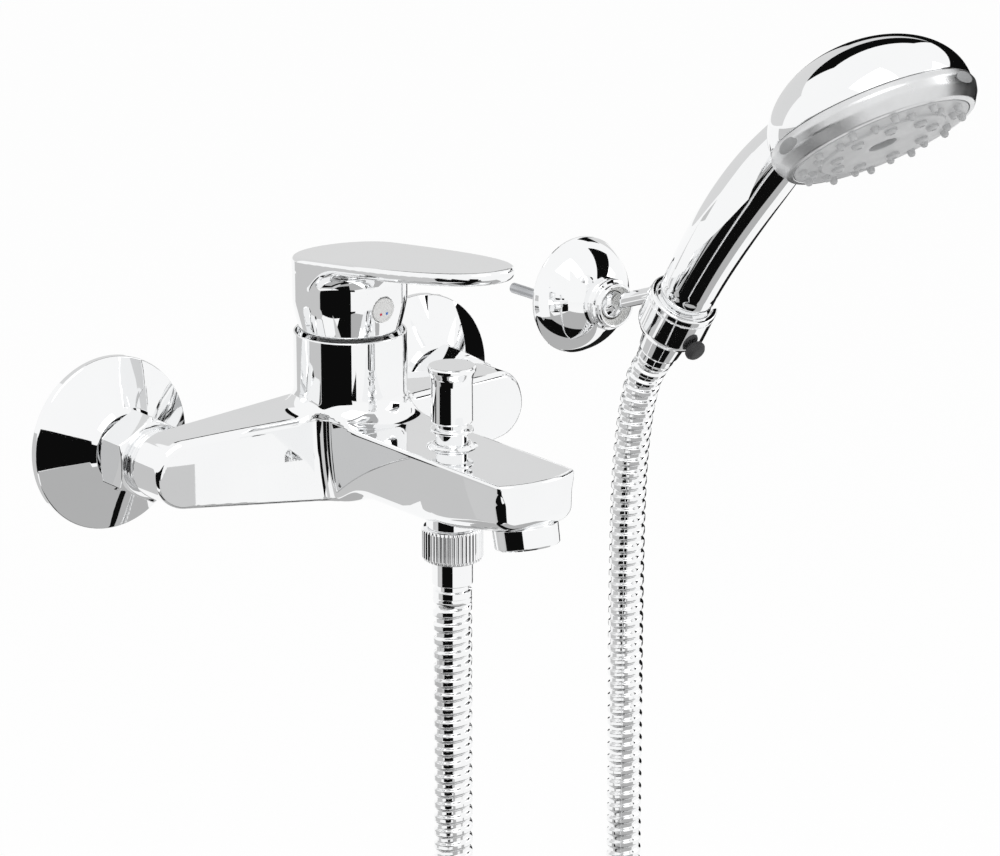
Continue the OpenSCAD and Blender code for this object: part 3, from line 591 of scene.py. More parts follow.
# Hose: a strip-wound tube along its route, in three lengths

HOSE_D = 14.9
HOSE_PITCH = 5.6
HOSE_GROOVE = 1.0
HOSE_SIDES = 30
HOSE_STEP = 0.35
HOSE_MIDDLE_Z = -205.0
HOSE_UPPER_Z = -86.0
ROUTE_STEPS = 24
# A band's edge lies between these shares of half a pitch, and the groove starts over this length
BAND_EDGE = (0.36, 0.64)
GROOVE_START = (0.5, 3.0)
# The loop's rising side is past this X, and these are two places on the lower length, in metres
LOOP_X = 100.0
LOOP_BEND = ((0.012, -0.115, -0.42), (0.150, -0.040, -0.42))
HOSE_ROUTE = [
    (0, -122, -47), (0, -122, -65), (0, -122, -110), (0, -122, -170), (0, -122, -240),
    (0, -122, -310), (3, -120, -370), (13, -115, -425), (33, -104, -468), (62, -88, -493),
    (81, -77, -497), (100, -67, -493), (129, -51, -468), (149, -40, -425), (159, -35, -370),
    (162, -33, -310), (162, -33, -240), (162, -33, -170), (162, -33, -110), (162, -34, -60),
    (162, -37, -30), (162, -42.33, -9.07), (162, -50.07, 3.31),
]


def curve(route, steps):
    """Catmull-Rom points through a route."""
    p = [np.array(q, float) for q in route]
    line = []
    for i in range(len(p) - 1):
        a, b, c, d = p[max(i - 1, 0)], p[i], p[i + 1], p[min(i + 2, len(p) - 1)]
        for k in range(steps):
            t = k / steps
            bend = (2 * a - 5 * b + 4 * c - d) * t * t + (3 * b - a - 3 * c + d) * t**3
            line.append(0.5 * (2 * b + (c - a) * t + bend))
    return np.array(line + [p[-1]])


def even(line, step):
    """A line's points again, about step apart, and how far along each is."""
    along = np.concatenate([[0], np.cumsum(np.linalg.norm(np.diff(line, axis=0), axis=1))])
    marks = np.linspace(0, along[-1], int(along[-1] / step) + 1)
    return np.column_stack([np.interp(marks, along, line[:, k]) for k in range(3)]), marks


def carried(line):
    """Two directions square to a line at each point, carried along it from X without twist."""
    ways = units(np.gradient(line, axis=0))
    side = np.array([1.0, 0.0, 0.0])
    first = []
    for way in ways:
        side = unit(side - way * (side @ way))
        first.append(side)
    first = np.array(first)
    return first, np.cross(ways, first)


def rings_along(line, radius):
    """Rings of points round a line, with a radius for each point of the line and each side."""
    angles = spin(radius.shape[1])
    u, v = carried(line)
    around = np.cos(angles)[None, :, None] * u[:, None] + np.sin(angles)[None, :, None] * v[:, None]
    return line[:, None] + radius[:, :, None] * around


def make_hose():
    line, marks = even(curve(HOSE_ROUTE, ROUTE_STEPS), HOSE_STEP)
    phase = np.mod(marks[:, None] / HOSE_PITCH - spin(HOSE_SIDES)[None, :] / (2 * math.pi), 1.0)
    groove = ease(np.abs(2 * phase - 1), *BAND_EDGE)
    depth = HOSE_GROOVE * ease(np.minimum(marks, marks[-1] - marks), *GROOVE_START)
    rings = rings_along(line, HOSE_D / 2 - depth[:, None] * groove)
    turn = int(np.argmax(line[:, 0] > LOOP_X))
    cuts = [
        0,
        turn + int(np.argmax(line[turn:, 2] > HOSE_MIDDLE_Z)),
        turn + int(np.argmax(line[turn:, 2] > HOSE_UPPER_Z)),
        len(line) - 1,
    ]
    low, high = line[cuts[1]] * MM, line[cuts[2]] * MM
    spans = [
        ("hose_lower", "mixer", "swivel_seat", *LOOP_BEND),
        ("hose_middle", "swivel_seat", "holder", tuple(low), tuple(high)),
        ("hose_upper", "holder", "handset", tuple(high), tuple(line[-1] * MM)),
    ]
    for i, (name, first, second, start, end) in enumerate(spans):
        part = slice(cuts[i], cuts[i + 1] + 1)
        piece = skin(name, rings[part], "chrome", None, ["shower_hose"])
        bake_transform(piece)


make_hose()


# Body: one casting of two arms, spout and tower

ARM_R = 13.5
ARM_BACK = 36.5
ARM_FRONT = 55.0
ARM_END = 88.0
ARM_LOW = -20.0
PANEL_LEAN = math.radians(7.5)
PANEL_FILLET = 5.0
BASE_LEAN = math.radians(6.4)
TOP_LEAN_FRONT = math.radians(1.2)
TOP_LEAN_BACK = math.radians(3.7)
SPOUT_HALF = 18.0
SPOUT_TOP = 13.0
SPOUT_LOW = -14.5
SPOUT_REACH = 177.5
SIDE_TUCK = 0.003
TIP_R = 38.0
TIP_LOW = -4.5
AERATOR_LEAN = math.radians(12.0)
BELLY_FILL = 1.5
BELLY_BLEND = 3.0
MOUTH_R = 21.1
MOUTH_DEEP = 7.0
STEM_R = 6.0
STEM_PLAY = 0.1
BORE_LOW = 9.0
COLLAR_T = 1.4
COLLAR_H = 1.3
COLLAR_FILLET = 3.0
BODY_GRID = 0.75

# Where one form passes into the next: Y of the arms' tops, and distances out from the wall
TOP_DEEPENS_Y = (-66.0, -ARM_BACK)
TOP_RISES_Y = (-88.0, -62.0)
BELLY_OUT = (66.0, 92.0)
SPOUT_OUT = (64.0, 84.0)
FLARE_SIDE_OUT = (38.0, 47.0)
FLARE_FRONT_OUT = (68.0, 82.0)

# Edge radii on the arms, and what the spout adds to them
UPPER_EDGE = 3.0
UPPER_EDGE_SPOUT = -1.8
LOWER_EDGE = 1.6
LOWER_EDGE_SPOUT = 4.4
EDGE_Z = (-5.0, 5.0)

# The tip's edge grows from its upper height down to its lower one
TIP_EDGE = 1.2
TIP_EDGE_MORE = 2.0
TIP_EDGE_HIGH = 11.0
TIP_EDGE_LOW = 5.0

# The tower's foot lies below the spout's top, its flare grows to the sides and the front
TOWER_EDGE = 0.6
TOWER_FOOT = 4.0
FLARE = 2.0
FLARE_SIDE = 5.0
FLARE_FRONT = 2.0
FOOT_TRIM = 6.0
FOOT_TRIM_H = 9.0
COLLAR_EDGE = 0.5
MOUTH_EDGE = 0.5


def body_plan(wide, y, z):
    """The arms and the spout as seen from above."""
    panel = (wide - ARM_END) * math.sin(PANEL_LEAN) - (y + ARM_FRONT) * math.cos(PANEL_LEAN)
    # The spout's sides tuck in towards its underside
    side = wide - SPOUT_HALF + SIDE_TUCK * np.maximum(SPOUT_TOP - z, 0) ** 2
    return np.maximum(join(panel, side, PANEL_FILLET), y + ARM_BACK)


def body_section(out, y, z):
    """The tops, the underside and the arms' round ends, out being the distance past an inlet's axis."""
    # The arms' tops rise towards the tower, more so at the back, and run down to the spout's flat top
    lean = TOP_LEAN_FRONT + (TOP_LEAN_BACK - TOP_LEAN_FRONT) * ease(y, *TOP_DEEPENS_Y)
    rise = ease(y, *TOP_RISES_Y) * (ARM_R - SPOUT_TOP - out * np.tan(lean))
    top = z - SPOUT_TOP - rise
    arm_low = out * math.sin(BASE_LEAN) - z * math.cos(BASE_LEAN) - ARM_R
    # The underside rises to the spout, and again to the slanted seat of the aerator
    belly = ARM_LOW + (SPOUT_LOW - ARM_LOW) * ease(-y, *BELLY_OUT)
    nose = TIP_LOW - (SPOUT_REACH + y) * math.tan(AERATOR_LEAN)
    near = np.maximum(1 - np.abs(belly - nose) / BELLY_BLEND, 0)
    belly = np.maximum(belly, nose) + BELLY_FILL * near**2
    low = np.maximum(arm_low, belly - z)
    under_top = z * np.sin(lean) <= out * np.cos(lean)
    over_base = -z * math.sin(BASE_LEAN) <= out * math.cos(BASE_LEAN)
    return np.where(under_top & over_base, length(out, z) - ARM_R, np.maximum(top, low))


def body_field(x, y, z):
    wide = np.abs(x)
    plan = body_plan(wide, y, z)
    spout = ease(-y, *SPOUT_OUT)
    upper_edge = UPPER_EDGE + UPPER_EDGE_SPOUT * spout
    lower_edge = LOWER_EDGE + LOWER_EDGE_SPOUT * spout
    edge = lower_edge + (upper_edge - lower_edge) * ease(z, *EDGE_Z)
    solid = meet(plan, body_section(wide - INLET_X, y, z), edge)
    # The spout's tip is round in plan
    past = TIP_R - SPOUT_REACH - y
    tip = np.where(past > 0, length(x, past), past) - TIP_R
    solid = meet(solid, tip, TIP_EDGE + TIP_EDGE_MORE * ease(-z, -TIP_EDGE_HIGH, -TIP_EDGE_LOW))
    # The tower flares into the arms' tops and the spout, its foot trimmed to their plan
    tower = meet(length(x, y - TOWER_Y) - TOWER_R, z - SEAM_Z, TOWER_EDGE)
    tower = np.maximum(tower, SPOUT_TOP - TOWER_FOOT - z)
    flare = FLARE + FLARE_SIDE * ease(-y, *FLARE_SIDE_OUT) + FLARE_FRONT * ease(-y, *FLARE_FRONT_OUT)
    solid = join(solid, tower, flare)
    solid = np.maximum(solid, plan - FOOT_TRIM * ease(z, SPOUT_TOP, SPOUT_TOP + FOOT_TRIM_H))
    # A collar round the diverter's stem, the tower's mouth and the stem's bore
    stem = length(x, y - DIVERTER_Y) - STEM_R
    collar = meet(stem - COLLAR_T, z - SPOUT_TOP - COLLAR_H, COLLAR_EDGE)
    solid = join(solid, collar, COLLAR_FILLET)
    mouth = np.maximum(length(x, y - TOWER_Y) - MOUTH_R, SEAM_Z - MOUTH_DEEP - z)
    solid = meet(solid, -mouth, MOUTH_EDGE)
    bore = np.maximum(stem - STEM_PLAY, BORE_LOW - z)
    return np.maximum(solid, -bore)


cast(
    "body_casting",
    body_field,
    (-ARM_END - 1, -SPOUT_REACH - 1, ARM_LOW - 2),
    (ARM_END + 1, -ARM_BACK + 1, SEAM_Z + 1),
    BODY_GRID,
    "chrome",
    "mixer",
    ["mixer_body", "diverter_bonnet"],
)


# Lever: a skirt over the cartridge and a long plate that rises towards its tip

SKIRT_R = 22.2
RIM_R = 19.8
RIM_Z = 45.7
# The skirt narrows below this height, over this much of it
TAPER_Z = 58.0
TAPER_H = 11.5
TAPER_POWER = 1.3
TAPER_MOST = 1.5
HOLLOW_R = 16.5
HOLLOW_Z = 58.0
PLATE_RISE = math.radians(6.7)
PLATE_BACK_Z = 73.5
PLATE_T = 5.0
PLATE_L = 94.0
# Powers of the plate's oval across and along
OVAL_ACROSS = 2.38
OVAL_ALONG = 3.2
OVAL_LEAST_PULL = 0.02
# The fillet under the plate and the edge at its side grow from the back to the front
UNDER_FILLET = 0.3
UNDER_FILLET_MORE = 8.0
UNDER_FILLET_OUT = (-8.0, 4.0)
SIDE_EDGE = 0.3
SIDE_EDGE_MORE = 2.2
SIDE_EDGE_OUT = (2.0, 14.0)
TOP_EDGE = 1.8
RIM_EDGE = 0.5
INDEX_Z = 57.0
INDEX_R = 4.75
INDEX_PLAY = 0.15
INDEX_DEEP = 2.6
INDEX_EDGE = 0.3
LEVER_GRID = 0.65


def lever_field(x, y, z):
    out = TOWER_Y - y
    round_it = length(x, out)
    top = (z - PLATE_BACK_Z - (out + SKIRT_R) * math.tan(PLATE_RISE)) * math.cos(PLATE_RISE)
    # Seen from above, the plate is half round behind the axis and a long oval in front of it
    wide = np.abs(x) / SKIRT_R
    far = np.maximum(out, 0) / PLATE_L
    level = wide**OVAL_ACROSS + far**OVAL_ALONG - 1
    pull_across = OVAL_ACROSS * wide ** (OVAL_ACROSS - 1) / SKIRT_R
    pull_along = OVAL_ALONG * far ** (OVAL_ALONG - 1) / PLATE_L
    oval = level / np.maximum(length(pull_across, pull_along), OVAL_LEAST_PULL)
    outline = np.where(out < 0, round_it - SKIRT_R, oval)
    taper = np.clip((TAPER_Z - z) / TAPER_H, 0, TAPER_MOST) ** TAPER_POWER
    skirt = round_it - SKIRT_R + (SKIRT_R - RIM_R) * taper
    under = -PLATE_T - top
    solid = join(skirt, under, UNDER_FILLET + UNDER_FILLET_MORE * ease(out, *UNDER_FILLET_OUT))
    solid = meet(solid, outline, SIDE_EDGE + SIDE_EDGE_MORE * ease(out, *SIDE_EDGE_OUT))
    solid = meet(solid, top, TOP_EDGE)
    solid = meet(solid, RIM_Z - z, RIM_EDGE)
    hollow = np.maximum(round_it - HOLLOW_R, z - HOLLOW_Z)
    solid = meet(solid, -hollow, RIM_EDGE)
    recess = np.maximum(length(x, z - INDEX_Z) - INDEX_R - INDEX_PLAY, SKIRT_R - INDEX_DEEP - out)
    return meet(solid, -recess, INDEX_EDGE)


cast(
    "lever_casting",
    lever_field,
    (-24, TOWER_Y - PLATE_L - 1, RIM_Z - 1),
    (24, TOWER_Y + 24, 90),
    LEVER_GRID,
    "chrome",
    "lever",
    ["lever_handle"],
)


def make_index():
    """A bare round button with a red and a blue dot."""
    front = TOWER_Y - SKIRT_R
    r = INDEX_R
    profile = [
        (0, -2.4), (r, -2.4), (r, 0.1, 0.3), (r - 0.7, 0.25, 0.2), (r - 0.9, 0.0, 0.2), (0, 0.15),
    ]
    face = axes((0, front + 0.3, INDEX_Z), OUTWARD)
    turned("index_button", profile, "index_white", "lever", ["index_plug"], face)
    profile = [(0, -0.3), (0.55, -0.3), (0.55, 0.05, 0.1), (0, 0.08)]
    for side, look in ((-1, "red_dot"), (1, "blue_dot")):
        place = axes((side * 1.4, front + 0.2, INDEX_Z - 1.5), OUTWARD)
        turned("index_" + look, profile, look, "lever", [], place, sides=24)


make_index()


# Inlets

ROSETTE_R = 34.5
ROSETTE_H = 15.0
NUT_FLATS = 30.0
NUT_BACK = -18.0
NUT_L = 15.0
NUT_BORE_R = 10.4
NUT_EDGE = 0.4
# The chamfer's cone: how far out and in it starts, its slope and the length of its gradient
CHAMFER_OUT = 0.6
CHAMFER_IN = 0.4
CHAMFER_SLOPE = 1.6
CHAMFER_PULL = 1.9
CHAMFER_EDGE = 0.35
NUT_GRID = 0.45


def nut_field(x, y, z):
    """Hexagon standing on a corner, both ends turned to a chamfer."""
    hexagon = np.abs(x)
    for turn in (60, 120):
        a = math.radians(turn)
        hexagon = np.maximum(hexagon, np.abs(x * math.cos(a) + y * math.sin(a)))
    hexagon = hexagon - NUT_FLATS / 2
    ends = np.abs(z - NUT_L / 2) - NUT_L / 2
    cone = length(x, y) - NUT_FLATS / 2 - CHAMFER_OUT + (ends + CHAMFER_IN) * CHAMFER_SLOPE
    solid = meet(meet(hexagon, cone / CHAMFER_PULL, CHAMFER_EDGE), ends, NUT_EDGE)
    return np.maximum(solid, NUT_BORE_R - length(x, y))


def make_inlet(side, name):
    """Rosette on the wall, union nut and the neck between nut and arm."""
    x = side * INLET_X
    r, h = ROSETTE_R, ROSETTE_H
    profile = [
        (r - 1.3, 0.0), (r, 0.0, 0.3), (r, 3.0, 0.9), (16.5, h - 1.6, 3.0), (14.6, h, 0.7),
        (10.3, h, 0.3), (10.3, h - 1.5, 0.3), (14.0, h - 1.8, 0.5), (r - 1.3, 2.2, 0.5),
    ]
    wall = axes((x, 0, 0), OUTWARD)
    turned(
        "rosette_shell_" + name, profile, "chrome", "mixer", ["rosette_" + name], wall,
        closed=True, sides=LARGE_SIDES,
    )
    cast(
        "union_hex_" + name,
        nut_field,
        (-18, -18, 0),
        (18, 18, NUT_L),
        NUT_GRID,
        "chrome",
        "mixer",
        ["union_nut_" + name],
        axes((x, NUT_BACK, 0), OUTWARD),
    )
    end = ARM_BACK + NUT_BACK - NUT_L + 0.2
    profile = [
        (10.4, -1.0), (12.3, -1.0), (12.3, 0.5, 0.2), (11.5, 0.7, 0.2), (11.5, 1.3, 0.2), (12.5, 1.6, 0.3),
        (12.5, 2.4, 0.3), (11.7, 2.7, 0.2), (11.7, end, 0.2), (10.4, end),
    ]
    neck = axes((x, NUT_BACK - NUT_L, 0), OUTWARD)
    turned("union_neck_" + name, profile, "chrome", "mixer", [], neck, closed=True)


for inlet_side, inlet_name in ((-1, "left"), (1, "right")):
    make_inlet(inlet_side, inlet_name)


# Diverter, aerator and the hose's lower end

KNOB_LOW = box("diverter_knob")[0][2]
KNOB_H = box("diverter_knob")[1][2] - KNOB_LOW
DIVERTER_AXES = axes((0, DIVERTER_Y, 0), UPWARD)
AERATOR_R = 12.4
AERATOR_H = 8.0
AERATOR_IN = 11.5
AERATOR_AT = (0.0, AERATOR_IN - SPOUT_REACH, TIP_LOW - AERATOR_IN * math.tan(AERATOR_LEAN))
NUT_TEETH = 44
NUT_R = 11.75
TOOTH_SIDES = 8
TOOTH_DEPTH = 0.06
TEETH_START_Z = (-31.2, -30.2)
TEETH_END_Z = (-19.6, -18.8)


def make_diverter():
    h = KNOB_H
    profile = [
        (0, 0), (STEM_R + 0.4, 0, 0.4), (8.0, 0.3, 1.2), (7.9, h - 7.0, 8.0), (8.2, h - 4.4, 4.0),
        (9.2, h - 2.2, 1.2), (9.2, h - 0.9, 0.5), (8.6, h - 0.25, 0.6), (0, h),
    ]
    foot = axes((0, DIVERTER_Y, KNOB_LOW), UPWARD)
    turned("diverter_grip", profile, "chrome", "diverter", ["diverter_knob"], foot)
    top = KNOB_LOW + 2
    profile = [
        (0, 8.0), (STEM_R, 8.0), (STEM_R, 18.9, 0.3), (8.2, 19.1, 0.4), (8.2, 20.3, 0.5), (STEM_R, 20.6, 0.3),
        (STEM_R, top), (0, top),
    ]
    turned("diverter_shaft", profile, "chrome", "diverter", ["diverter_stem"], DIVERTER_AXES)


def make_aerator():
    up = (0.0, math.sin(AERATOR_LEAN), math.cos(AERATOR_LEAN))
    r, h = AERATOR_R, AERATOR_H
    profile = [
        (r - 3.8, -h), (r - 1.1, -h, 0.3), (r - 0.2, -h + 0.7, 0.5), (r, 0.0, 0.3), (r - 1.4, 0.0, 0.3),
        (r - 1.4, 4.5, 0.3), (r - 2.8, 4.5), (r - 2.8, -h + 1.5), (r - 3.8, -h + 1.5),
    ]
    place = axes(AERATOR_AT, up)
    turned("aerator_shell", profile, "chrome", "mixer", ["aerator_housing"], place, closed=True)


def teeth(angle, height):
    """Rounded knurl on the hose nut's middle, none at its ends."""
    wave = 0.5 - 0.5 * math.cos(NUT_TEETH * angle)
    held = float(ease(height, *TEETH_START_Z) * (1 - ease(height, *TEETH_END_Z)))
    return 1 - TOOTH_DEPTH * held * wave**2


def make_hose_end():
    """Knurled nut, the neck inside it and the ferrule with one rolled band at its end."""
    r = NUT_R
    profile = [
        (7.9, -31.4), (10.9, -31.4, 0.4), (11.3, -31.0, 0.2), (r, -30.0, 0.3), (r, -27.0), (r, -23.0),
        (r, -19.6, 0.3), (11.3, -18.6, 0.2), (10.9, -18.3, 0.3), (7.9, -18.3),
    ]
    turned(
        "hose_nut_knurled", profile, "chrome", "mixer", ["hose_nut"], DIVERTER_AXES,
        closed=True, sides=NUT_TEETH * TOOTH_SIDES, swell=teeth,
    )
    profile = [(5.0, -27.0), (7.8, -27.0), (7.8, -18.4), (9.85, -18.3, 0.3), (9.85, -14.0), (5.0, -14.0)]
    turned("shower_neck", profile, "chrome", "mixer", ["shower_nipple"], DIVERTER_AXES, closed=True)
    profile = [
        (4.2, -46.8), (6.2, -46.8, 0.2), (6.2, -46.4, 0.1), (7.4, -46.2, 0.2), (7.4, -43.6, 0.2),
        (6.2, -43.4, 0.2), (6.2, -41.2, 0.2), (7.8, -41.0, 0.3), (7.8, -29.0), (4.2, -29.0),
    ]
    turned("ferrule_sleeve", profile, "chrome", "mixer", ["ferrule_lower"], DIVERTER_AXES, closed=True)


make_diverter()
make_aerator()
make_hose_end()


# Wall bracket and holder

DOME_R = 25.0
DOME_H = 19.0
DOME_RIM = 1.6
DOME_HOLE_R = 10.9
DOME_STEPS = 32
ROD_R = 3.2
CUP_R = 14.5
CUP_GRID = 0.4
CUP_NARROWS = 2.2
CUP_NARROWS_DOWN = (5.0, 10.0)
CUP_EDGE = 0.8
CUP_PLAY = 0.3
CUP_BORE_EDGE = 0.5
LINE_DOWN = 3.2
LINE_HALF = 0.35
LINE_DEEP = 0.5
SLOT_PLAY = 0.4
SLOT_EDGE = 0.6
CONE_TOP_R = 11.9
FERRULE_R = 7.8


def make_bracket():
    """Domed cover on the wall and the collar that holds the ball."""
    wall = axes((BALL[0], 0, BALL[2]), OUTWARD)
    globe = (DOME_R**2 + DOME_H**2) / (2 * DOME_H)
    wide = math.acos(1 - (DOME_H - DOME_RIM) / globe)
    narrow = math.asin(DOME_HOLE_R / globe)
    arch = []
    for k in range(DOME_STEPS + 1):
        a = wide + (narrow - wide) * k / DOME_STEPS
        s, c = math.sin(a), math.cos(a)
        arch.append((globe * s, DOME_H - globe + globe * c, s, c))
    profile = [
        (DOME_R - 2.2, 0.0), (DOME_R, 0.0, 0.4), (DOME_R, 0.8, 0.3), *arch,
        (DOME_HOLE_R, arch[-1][1] - 2.0, 0.2), (DOME_R - 3.0, 1.5),
    ]
    turned(
        "bracket_cover", profile, "chrome", "mixer", ["bracket_dome"], wall,
        closed=True, sides=LARGE_SIDES,
    )
    profile = [
        (7.2, 14.0), (10.9, 14.0), (10.9, 19.6, 0.4), (10.4, 20.0, 0.2), (10.4, 20.8, 0.2), (10.9, 21.2, 0.4),
        (10.9, 22.2, 0.6), (9.4, 22.8, 0.6), (9.3, 24.6, 0.5), (8.9, 25.4, 0.2), (8.2, 25.2, 0.2),
        (8.2, 23.0),
    ]
    turned("bracket_ring", profile, "chrome", "mixer", ["bracket_collar"], wall, closed=True)


def cup_field(x, y, z):
    """Open ring with a line round it and a slot for the hose on local +Y."""
    r = length(x, y)
    outside = r - CUP_R + CUP_NARROWS * ease(-z, *CUP_NARROWS_DOWN)
    shell = meet(outside, np.abs(z) - CUP_HALF, CUP_EDGE)
    shell = meet(shell, CONE_TOP_R + CUP_PLAY - r, CUP_BORE_EDGE)
    line = np.maximum(np.abs(z - CUP_HALF + LINE_DOWN) - LINE_HALF, CUP_R - LINE_DEEP - r)
    shell = np.maximum(shell, -line)
    slot = np.maximum(np.abs(x) - FERRULE_R - SLOT_PLAY, -y)
    return meet(shell, -slot, SLOT_EDGE)


def make_holder():
    """Ball arm, cup and button of the holder, and the cone nut and ferrule that sit in the cup."""
    across = np.cross(LIFT, (1.0, 0.0, 0.0))
    outside = -across if across[1] > 0 else across
    holder = axes(CUP, LIFT, outside)
    way = CUP - outside * (CUP_R - 1.0) - BALL
    reach = float(np.linalg.norm(way))
    profile = [
        (0, -6.5), (4.0, -5.1, 3.0), (6.2, -1.9, 4.0), (6.2, 1.9, 4.0), (4.6, 4.6, 1.6), (ROD_R, 6.0, 1.5),
        (ROD_R, reach - 3.0, 1.0), (ROD_R + 1.0, reach - 1.0, 1.0), (ROD_R + 1.2, reach, 0.4), (0, reach),
    ]
    turned("holder_rod", profile, "chrome", "holder", ["ball_arm"], axes(BALL, way), sides=64)
    cast(
        "holder_ring",
        cup_field,
        (-16, -16, -11),
        (16, 16, 11),
        CUP_GRID,
        "chrome",
        "holder",
        ["holder_cup"],
        holder,
    )
    profile = [
        (0, 0), (2.2, 0), (2.2, 1.8, 0.3), (4.2, 2.0, 0.8), (4.5, 4.0, 1.2), (3.4, 5.6, 1.4), (0, 6.2),
    ]
    button = axes(CUP + outside * (CUP_R - 1.2) - LIFT * 4.0, outside)
    turned("holder_button", profile, "rubber", "holder", ["holder_knob"], button, sides=48)
    top = CUP_HALF - 0.4
    profile = [
        (7.9, -20.0), (8.2, -20.0, 0.3), (8.7, -19.0, 0.4), (CONE_TOP_R, top, 0.3), (9.7, top), (7.9, -6.2),
    ]
    turned("cone_nut_turned", profile, "chrome", "handset", ["cone_nut"], holder, closed=True)
    r = FERRULE_R
    profile = [(4.2, -24.0), (7.4, -24.0, 0.4), (r, -23.2, 0.4), (r, -6.0), (4.2, -6.0)]
    turned(
        "upper_ferrule_sleeve", profile, "chrome", "handset", ["ferrule_upper"], holder,
        closed=True, sides=64,
    )


make_bracket()
make_holder()


# Hand shower

HANDLE_START = CUP_HALF + 0.3
HANDLE_PLUG = 5.0
HANDLE_L = 124.0
HANDLE_R = 11.6
HANDLE_SIDES = 64
HANDLE_STEPS = 120
HANDLE_BOW_L = 120.0
BELLY_R = 1.6
BELLY_L = 118.0
BELLY_POWER = 1.3
NECK_TAPER = 1.2
NECK_TAPER_AT = (70.0, 125.0)
FOOT_STEP = 1.4
FOOT_STEP_L = 3.0
LINE_AT = 7.0
LINE_SPREAD = 0.45
LINE_DEPTH = 0.5
HOLDER_TILT = math.radians(58.0)
NECK_TILT = math.radians(38.0)
ARC_R = HANDLE_BOW_L / (HOLDER_TILT - NECK_TILT)
DOME_BACK_R = 41.0
DOME_BACK_H = 28.0
ARCH_STEPS = 48
PAD_TURNS = (53.0, 173.0, 293.0)
PAD_HALF_L = 8.0
PAD_HALF_H = 2.6
PAD_H = -4.2
PAD_RINGS = 6
PAD_SIDES = 40
PAD_RAISE = 0.15
PAD_EDGE = 1.1
PAD_EDGE_POWER = 6
# The ring falls away below this height, by this much over the first such length
RING_FALL = 0.9
RING_FALL_H = -5.0
RING_FALL_L = 3.0
# Rubber nozzles near the rim, in turn on two rings, and wider jets nearer the middle
NOZZLES = 24
NOZZLE_INSETS = (9.2, 13.2)
NOZZLE_R = 1.5
NOZZLE_H = 3.0
JETS = 9
JET_INSET = 22.0
JET_R = 2.6
JET_H = 3.4
PLATE_FACE = -11.4


def handle_line():
    """Centreline of the handle, straight out of the cup, then a long bow, and how far along each point is."""
    marks = np.linspace(0, HANDLE_PLUG + HANDLE_L, HANDLE_STEPS)
    points = []
    for s in marks:
        straight = HANDLE_START + min(s, HANDLE_PLUG)
        now = HOLDER_TILT - max(s - HANDLE_PLUG, 0) / ARC_R
        out = straight * math.cos(HOLDER_TILT) + ARC_R * (math.sin(HOLDER_TILT) - math.sin(now))
        up = straight * math.sin(HOLDER_TILT) + ARC_R * (math.cos(now) - math.cos(HOLDER_TILT))
        points.append(CUP + np.array([0.0, -out, up]))
    return np.array(points), marks


def make_handle():
    """A grip with a slight belly, a thinner neck and a fine groove above the nut."""
    line, marks = handle_line()
    belly = BELLY_R * np.sin(np.pi * np.clip(marks / BELLY_L, 0, 1)) ** BELLY_POWER
    taper = HANDLE_R - NECK_TAPER * ease(marks, *NECK_TAPER_AT)
    foot = FOOT_STEP * (1 - ease(marks, 0.0, FOOT_STEP_L))
    groove = LINE_DEPTH * np.exp(-(((marks - LINE_AT) / LINE_SPREAD) ** 2))
    radius = np.repeat((taper + belly - foot - groove)[:, None], HANDLE_SIDES, axis=1)
    skin("handle_grip", rings_along(line, radius), "chrome", "handset", ["handset_handle"])


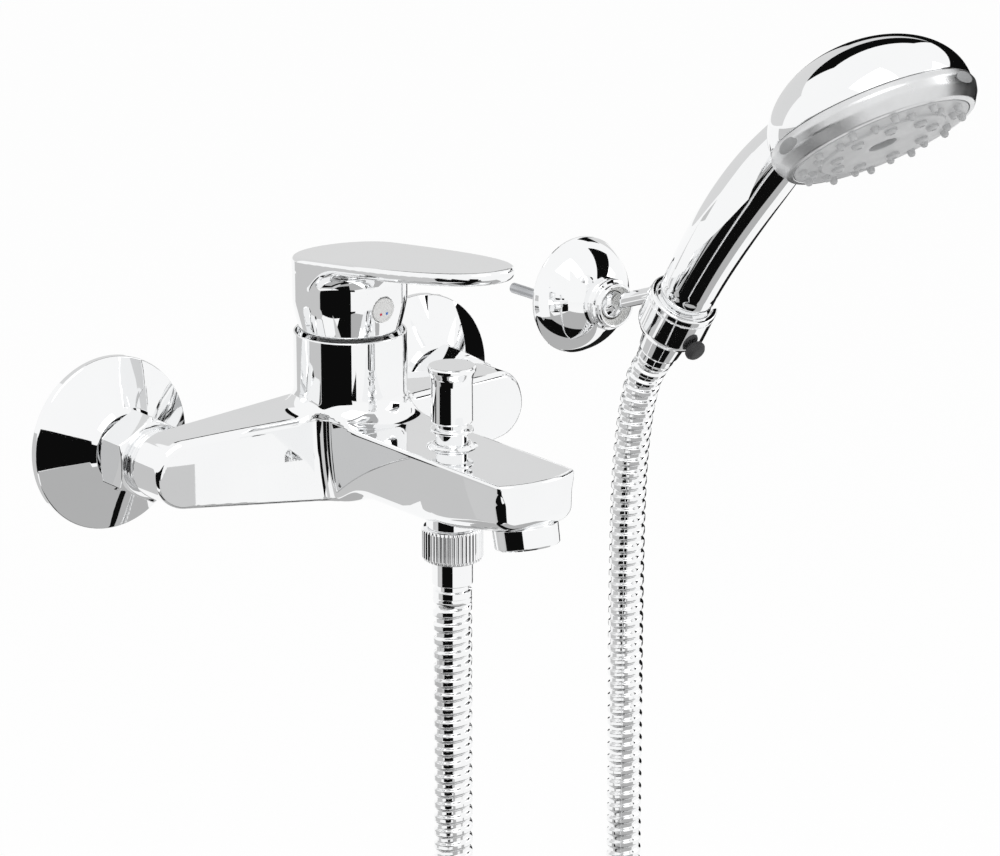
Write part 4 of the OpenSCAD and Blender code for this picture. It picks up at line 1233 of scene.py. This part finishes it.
def make_head():
    """Domed back, ring, face plate, pads and nozzles."""
    arch = []
    for k in range(ARCH_STEPS):
        a = math.pi / 2 * k / ARCH_STEPS
        c, s = math.cos(a), math.sin(a)
        arch.append((DOME_BACK_R * c, DOME_BACK_H * s, c / DOME_BACK_R, s / DOME_BACK_H))
    profile = [(38.8, 0.0), *arch, (0, DOME_BACK_H, 0, 1)]
    turned("head_dome", profile, "chrome", "handset", ["head_shell"], HEAD_AXES, sides=LARGE_SIDES)
    r = HEAD_R
    profile = [
        (r - 6.0, -0.4), (r - 1.2, -0.4, 0.8), (r, -3.2, 2.5), (r - 0.8, -6.6, 4.0), (r - 3.6, -11.0, 1.2),
        (r - 6.0, -11.4, 0.4),
    ]
    turned(
        "spray_bezel", profile, "satin_ring", "spray", ["spray_ring"], HEAD_AXES,
        closed=True, sides=LARGE_SIDES,
    )
    profile = [
        (0, -9.0), (5.6, -9.0), (5.6, -12.6, 0.4), (7.0, -12.8, 0.6), (r - 16.5, -13.0, 1.0),
        (r - 15.8, -12.0, 0.6), (r - 6.2, -11.6, 0.6), (r - 6.2, -8.0), (0, -8.0),
    ]
    turned("spray_plate", profile, "grey_plastic", "spray", ["spray_face"], HEAD_AXES)
    for i, turn in enumerate(PAD_TURNS):
        make_pad(f"spray_pad_{i}", turn)
    for i in range(NOZZLES):
        inset = NOZZLE_INSETS[i % 2]
        make_nozzle(f"spray_nozzle_{i:02d}", 360.0 / NOZZLES * i, r - inset, NOZZLE_R, NOZZLE_H)
    for i in range(JETS):
        make_nozzle(f"spray_jet_{i}", 360.0 / JETS * i, r - JET_INSET, JET_R, JET_H)


def make_pad(name, turn):
    """A shallow oval pad on the ring's side, bent round it."""
    a = math.radians(turn)
    angles = spin(PAD_SIDES)
    rings = []
    for share in np.linspace(0.0, 1.0, PAD_RINGS + 1)[1:]:
        around = a + PAD_HALF_L / HEAD_R * share * np.cos(angles)
        height = PAD_H + PAD_HALF_H * share * np.sin(angles)
        fall = RING_FALL * np.clip((RING_FALL_H - height) / RING_FALL_L, 0, 2) ** 2
        out = HEAD_R + PAD_RAISE - PAD_EDGE * share**PAD_EDGE_POWER - fall
        rings.append(np.column_stack([out * np.cos(around), out * np.sin(around), height]))
    shape = np.array(rings) @ HEAD_AXES[:3, :3].T + HEAD_AXES[:3, 3]
    skin(name, shape[::-1], "grip", "spray", [], (False, True))


def make_nozzle(name, turn, out, radius, tall):
    """A tapered nozzle with a dimple in its end, standing on the face plate."""
    a = math.radians(turn)
    place = np.array([out * math.cos(a), out * math.sin(a), PLATE_FACE])
    centre = HEAD_AXES[:3, :3] @ place + HEAD_AXES[:3, 3]
    r = radius
    profile = [
        (0, -1.0), (r + 0.3, -1.0), (r + 0.2, 0.4, 0.2), (r - 0.1, tall - 0.8, 0.6), (r * 0.45, tall, 0.3),
        (r * 0.4, tall - 0.7, 0.1), (0, tall - 0.8),
    ]
    out_of_face = axes(centre, -HEAD_BACK)
    turned(name, profile, "grey_plastic", "spray", ["spray_nozzles"], out_of_face, sides=24)


make_handle()
make_head()
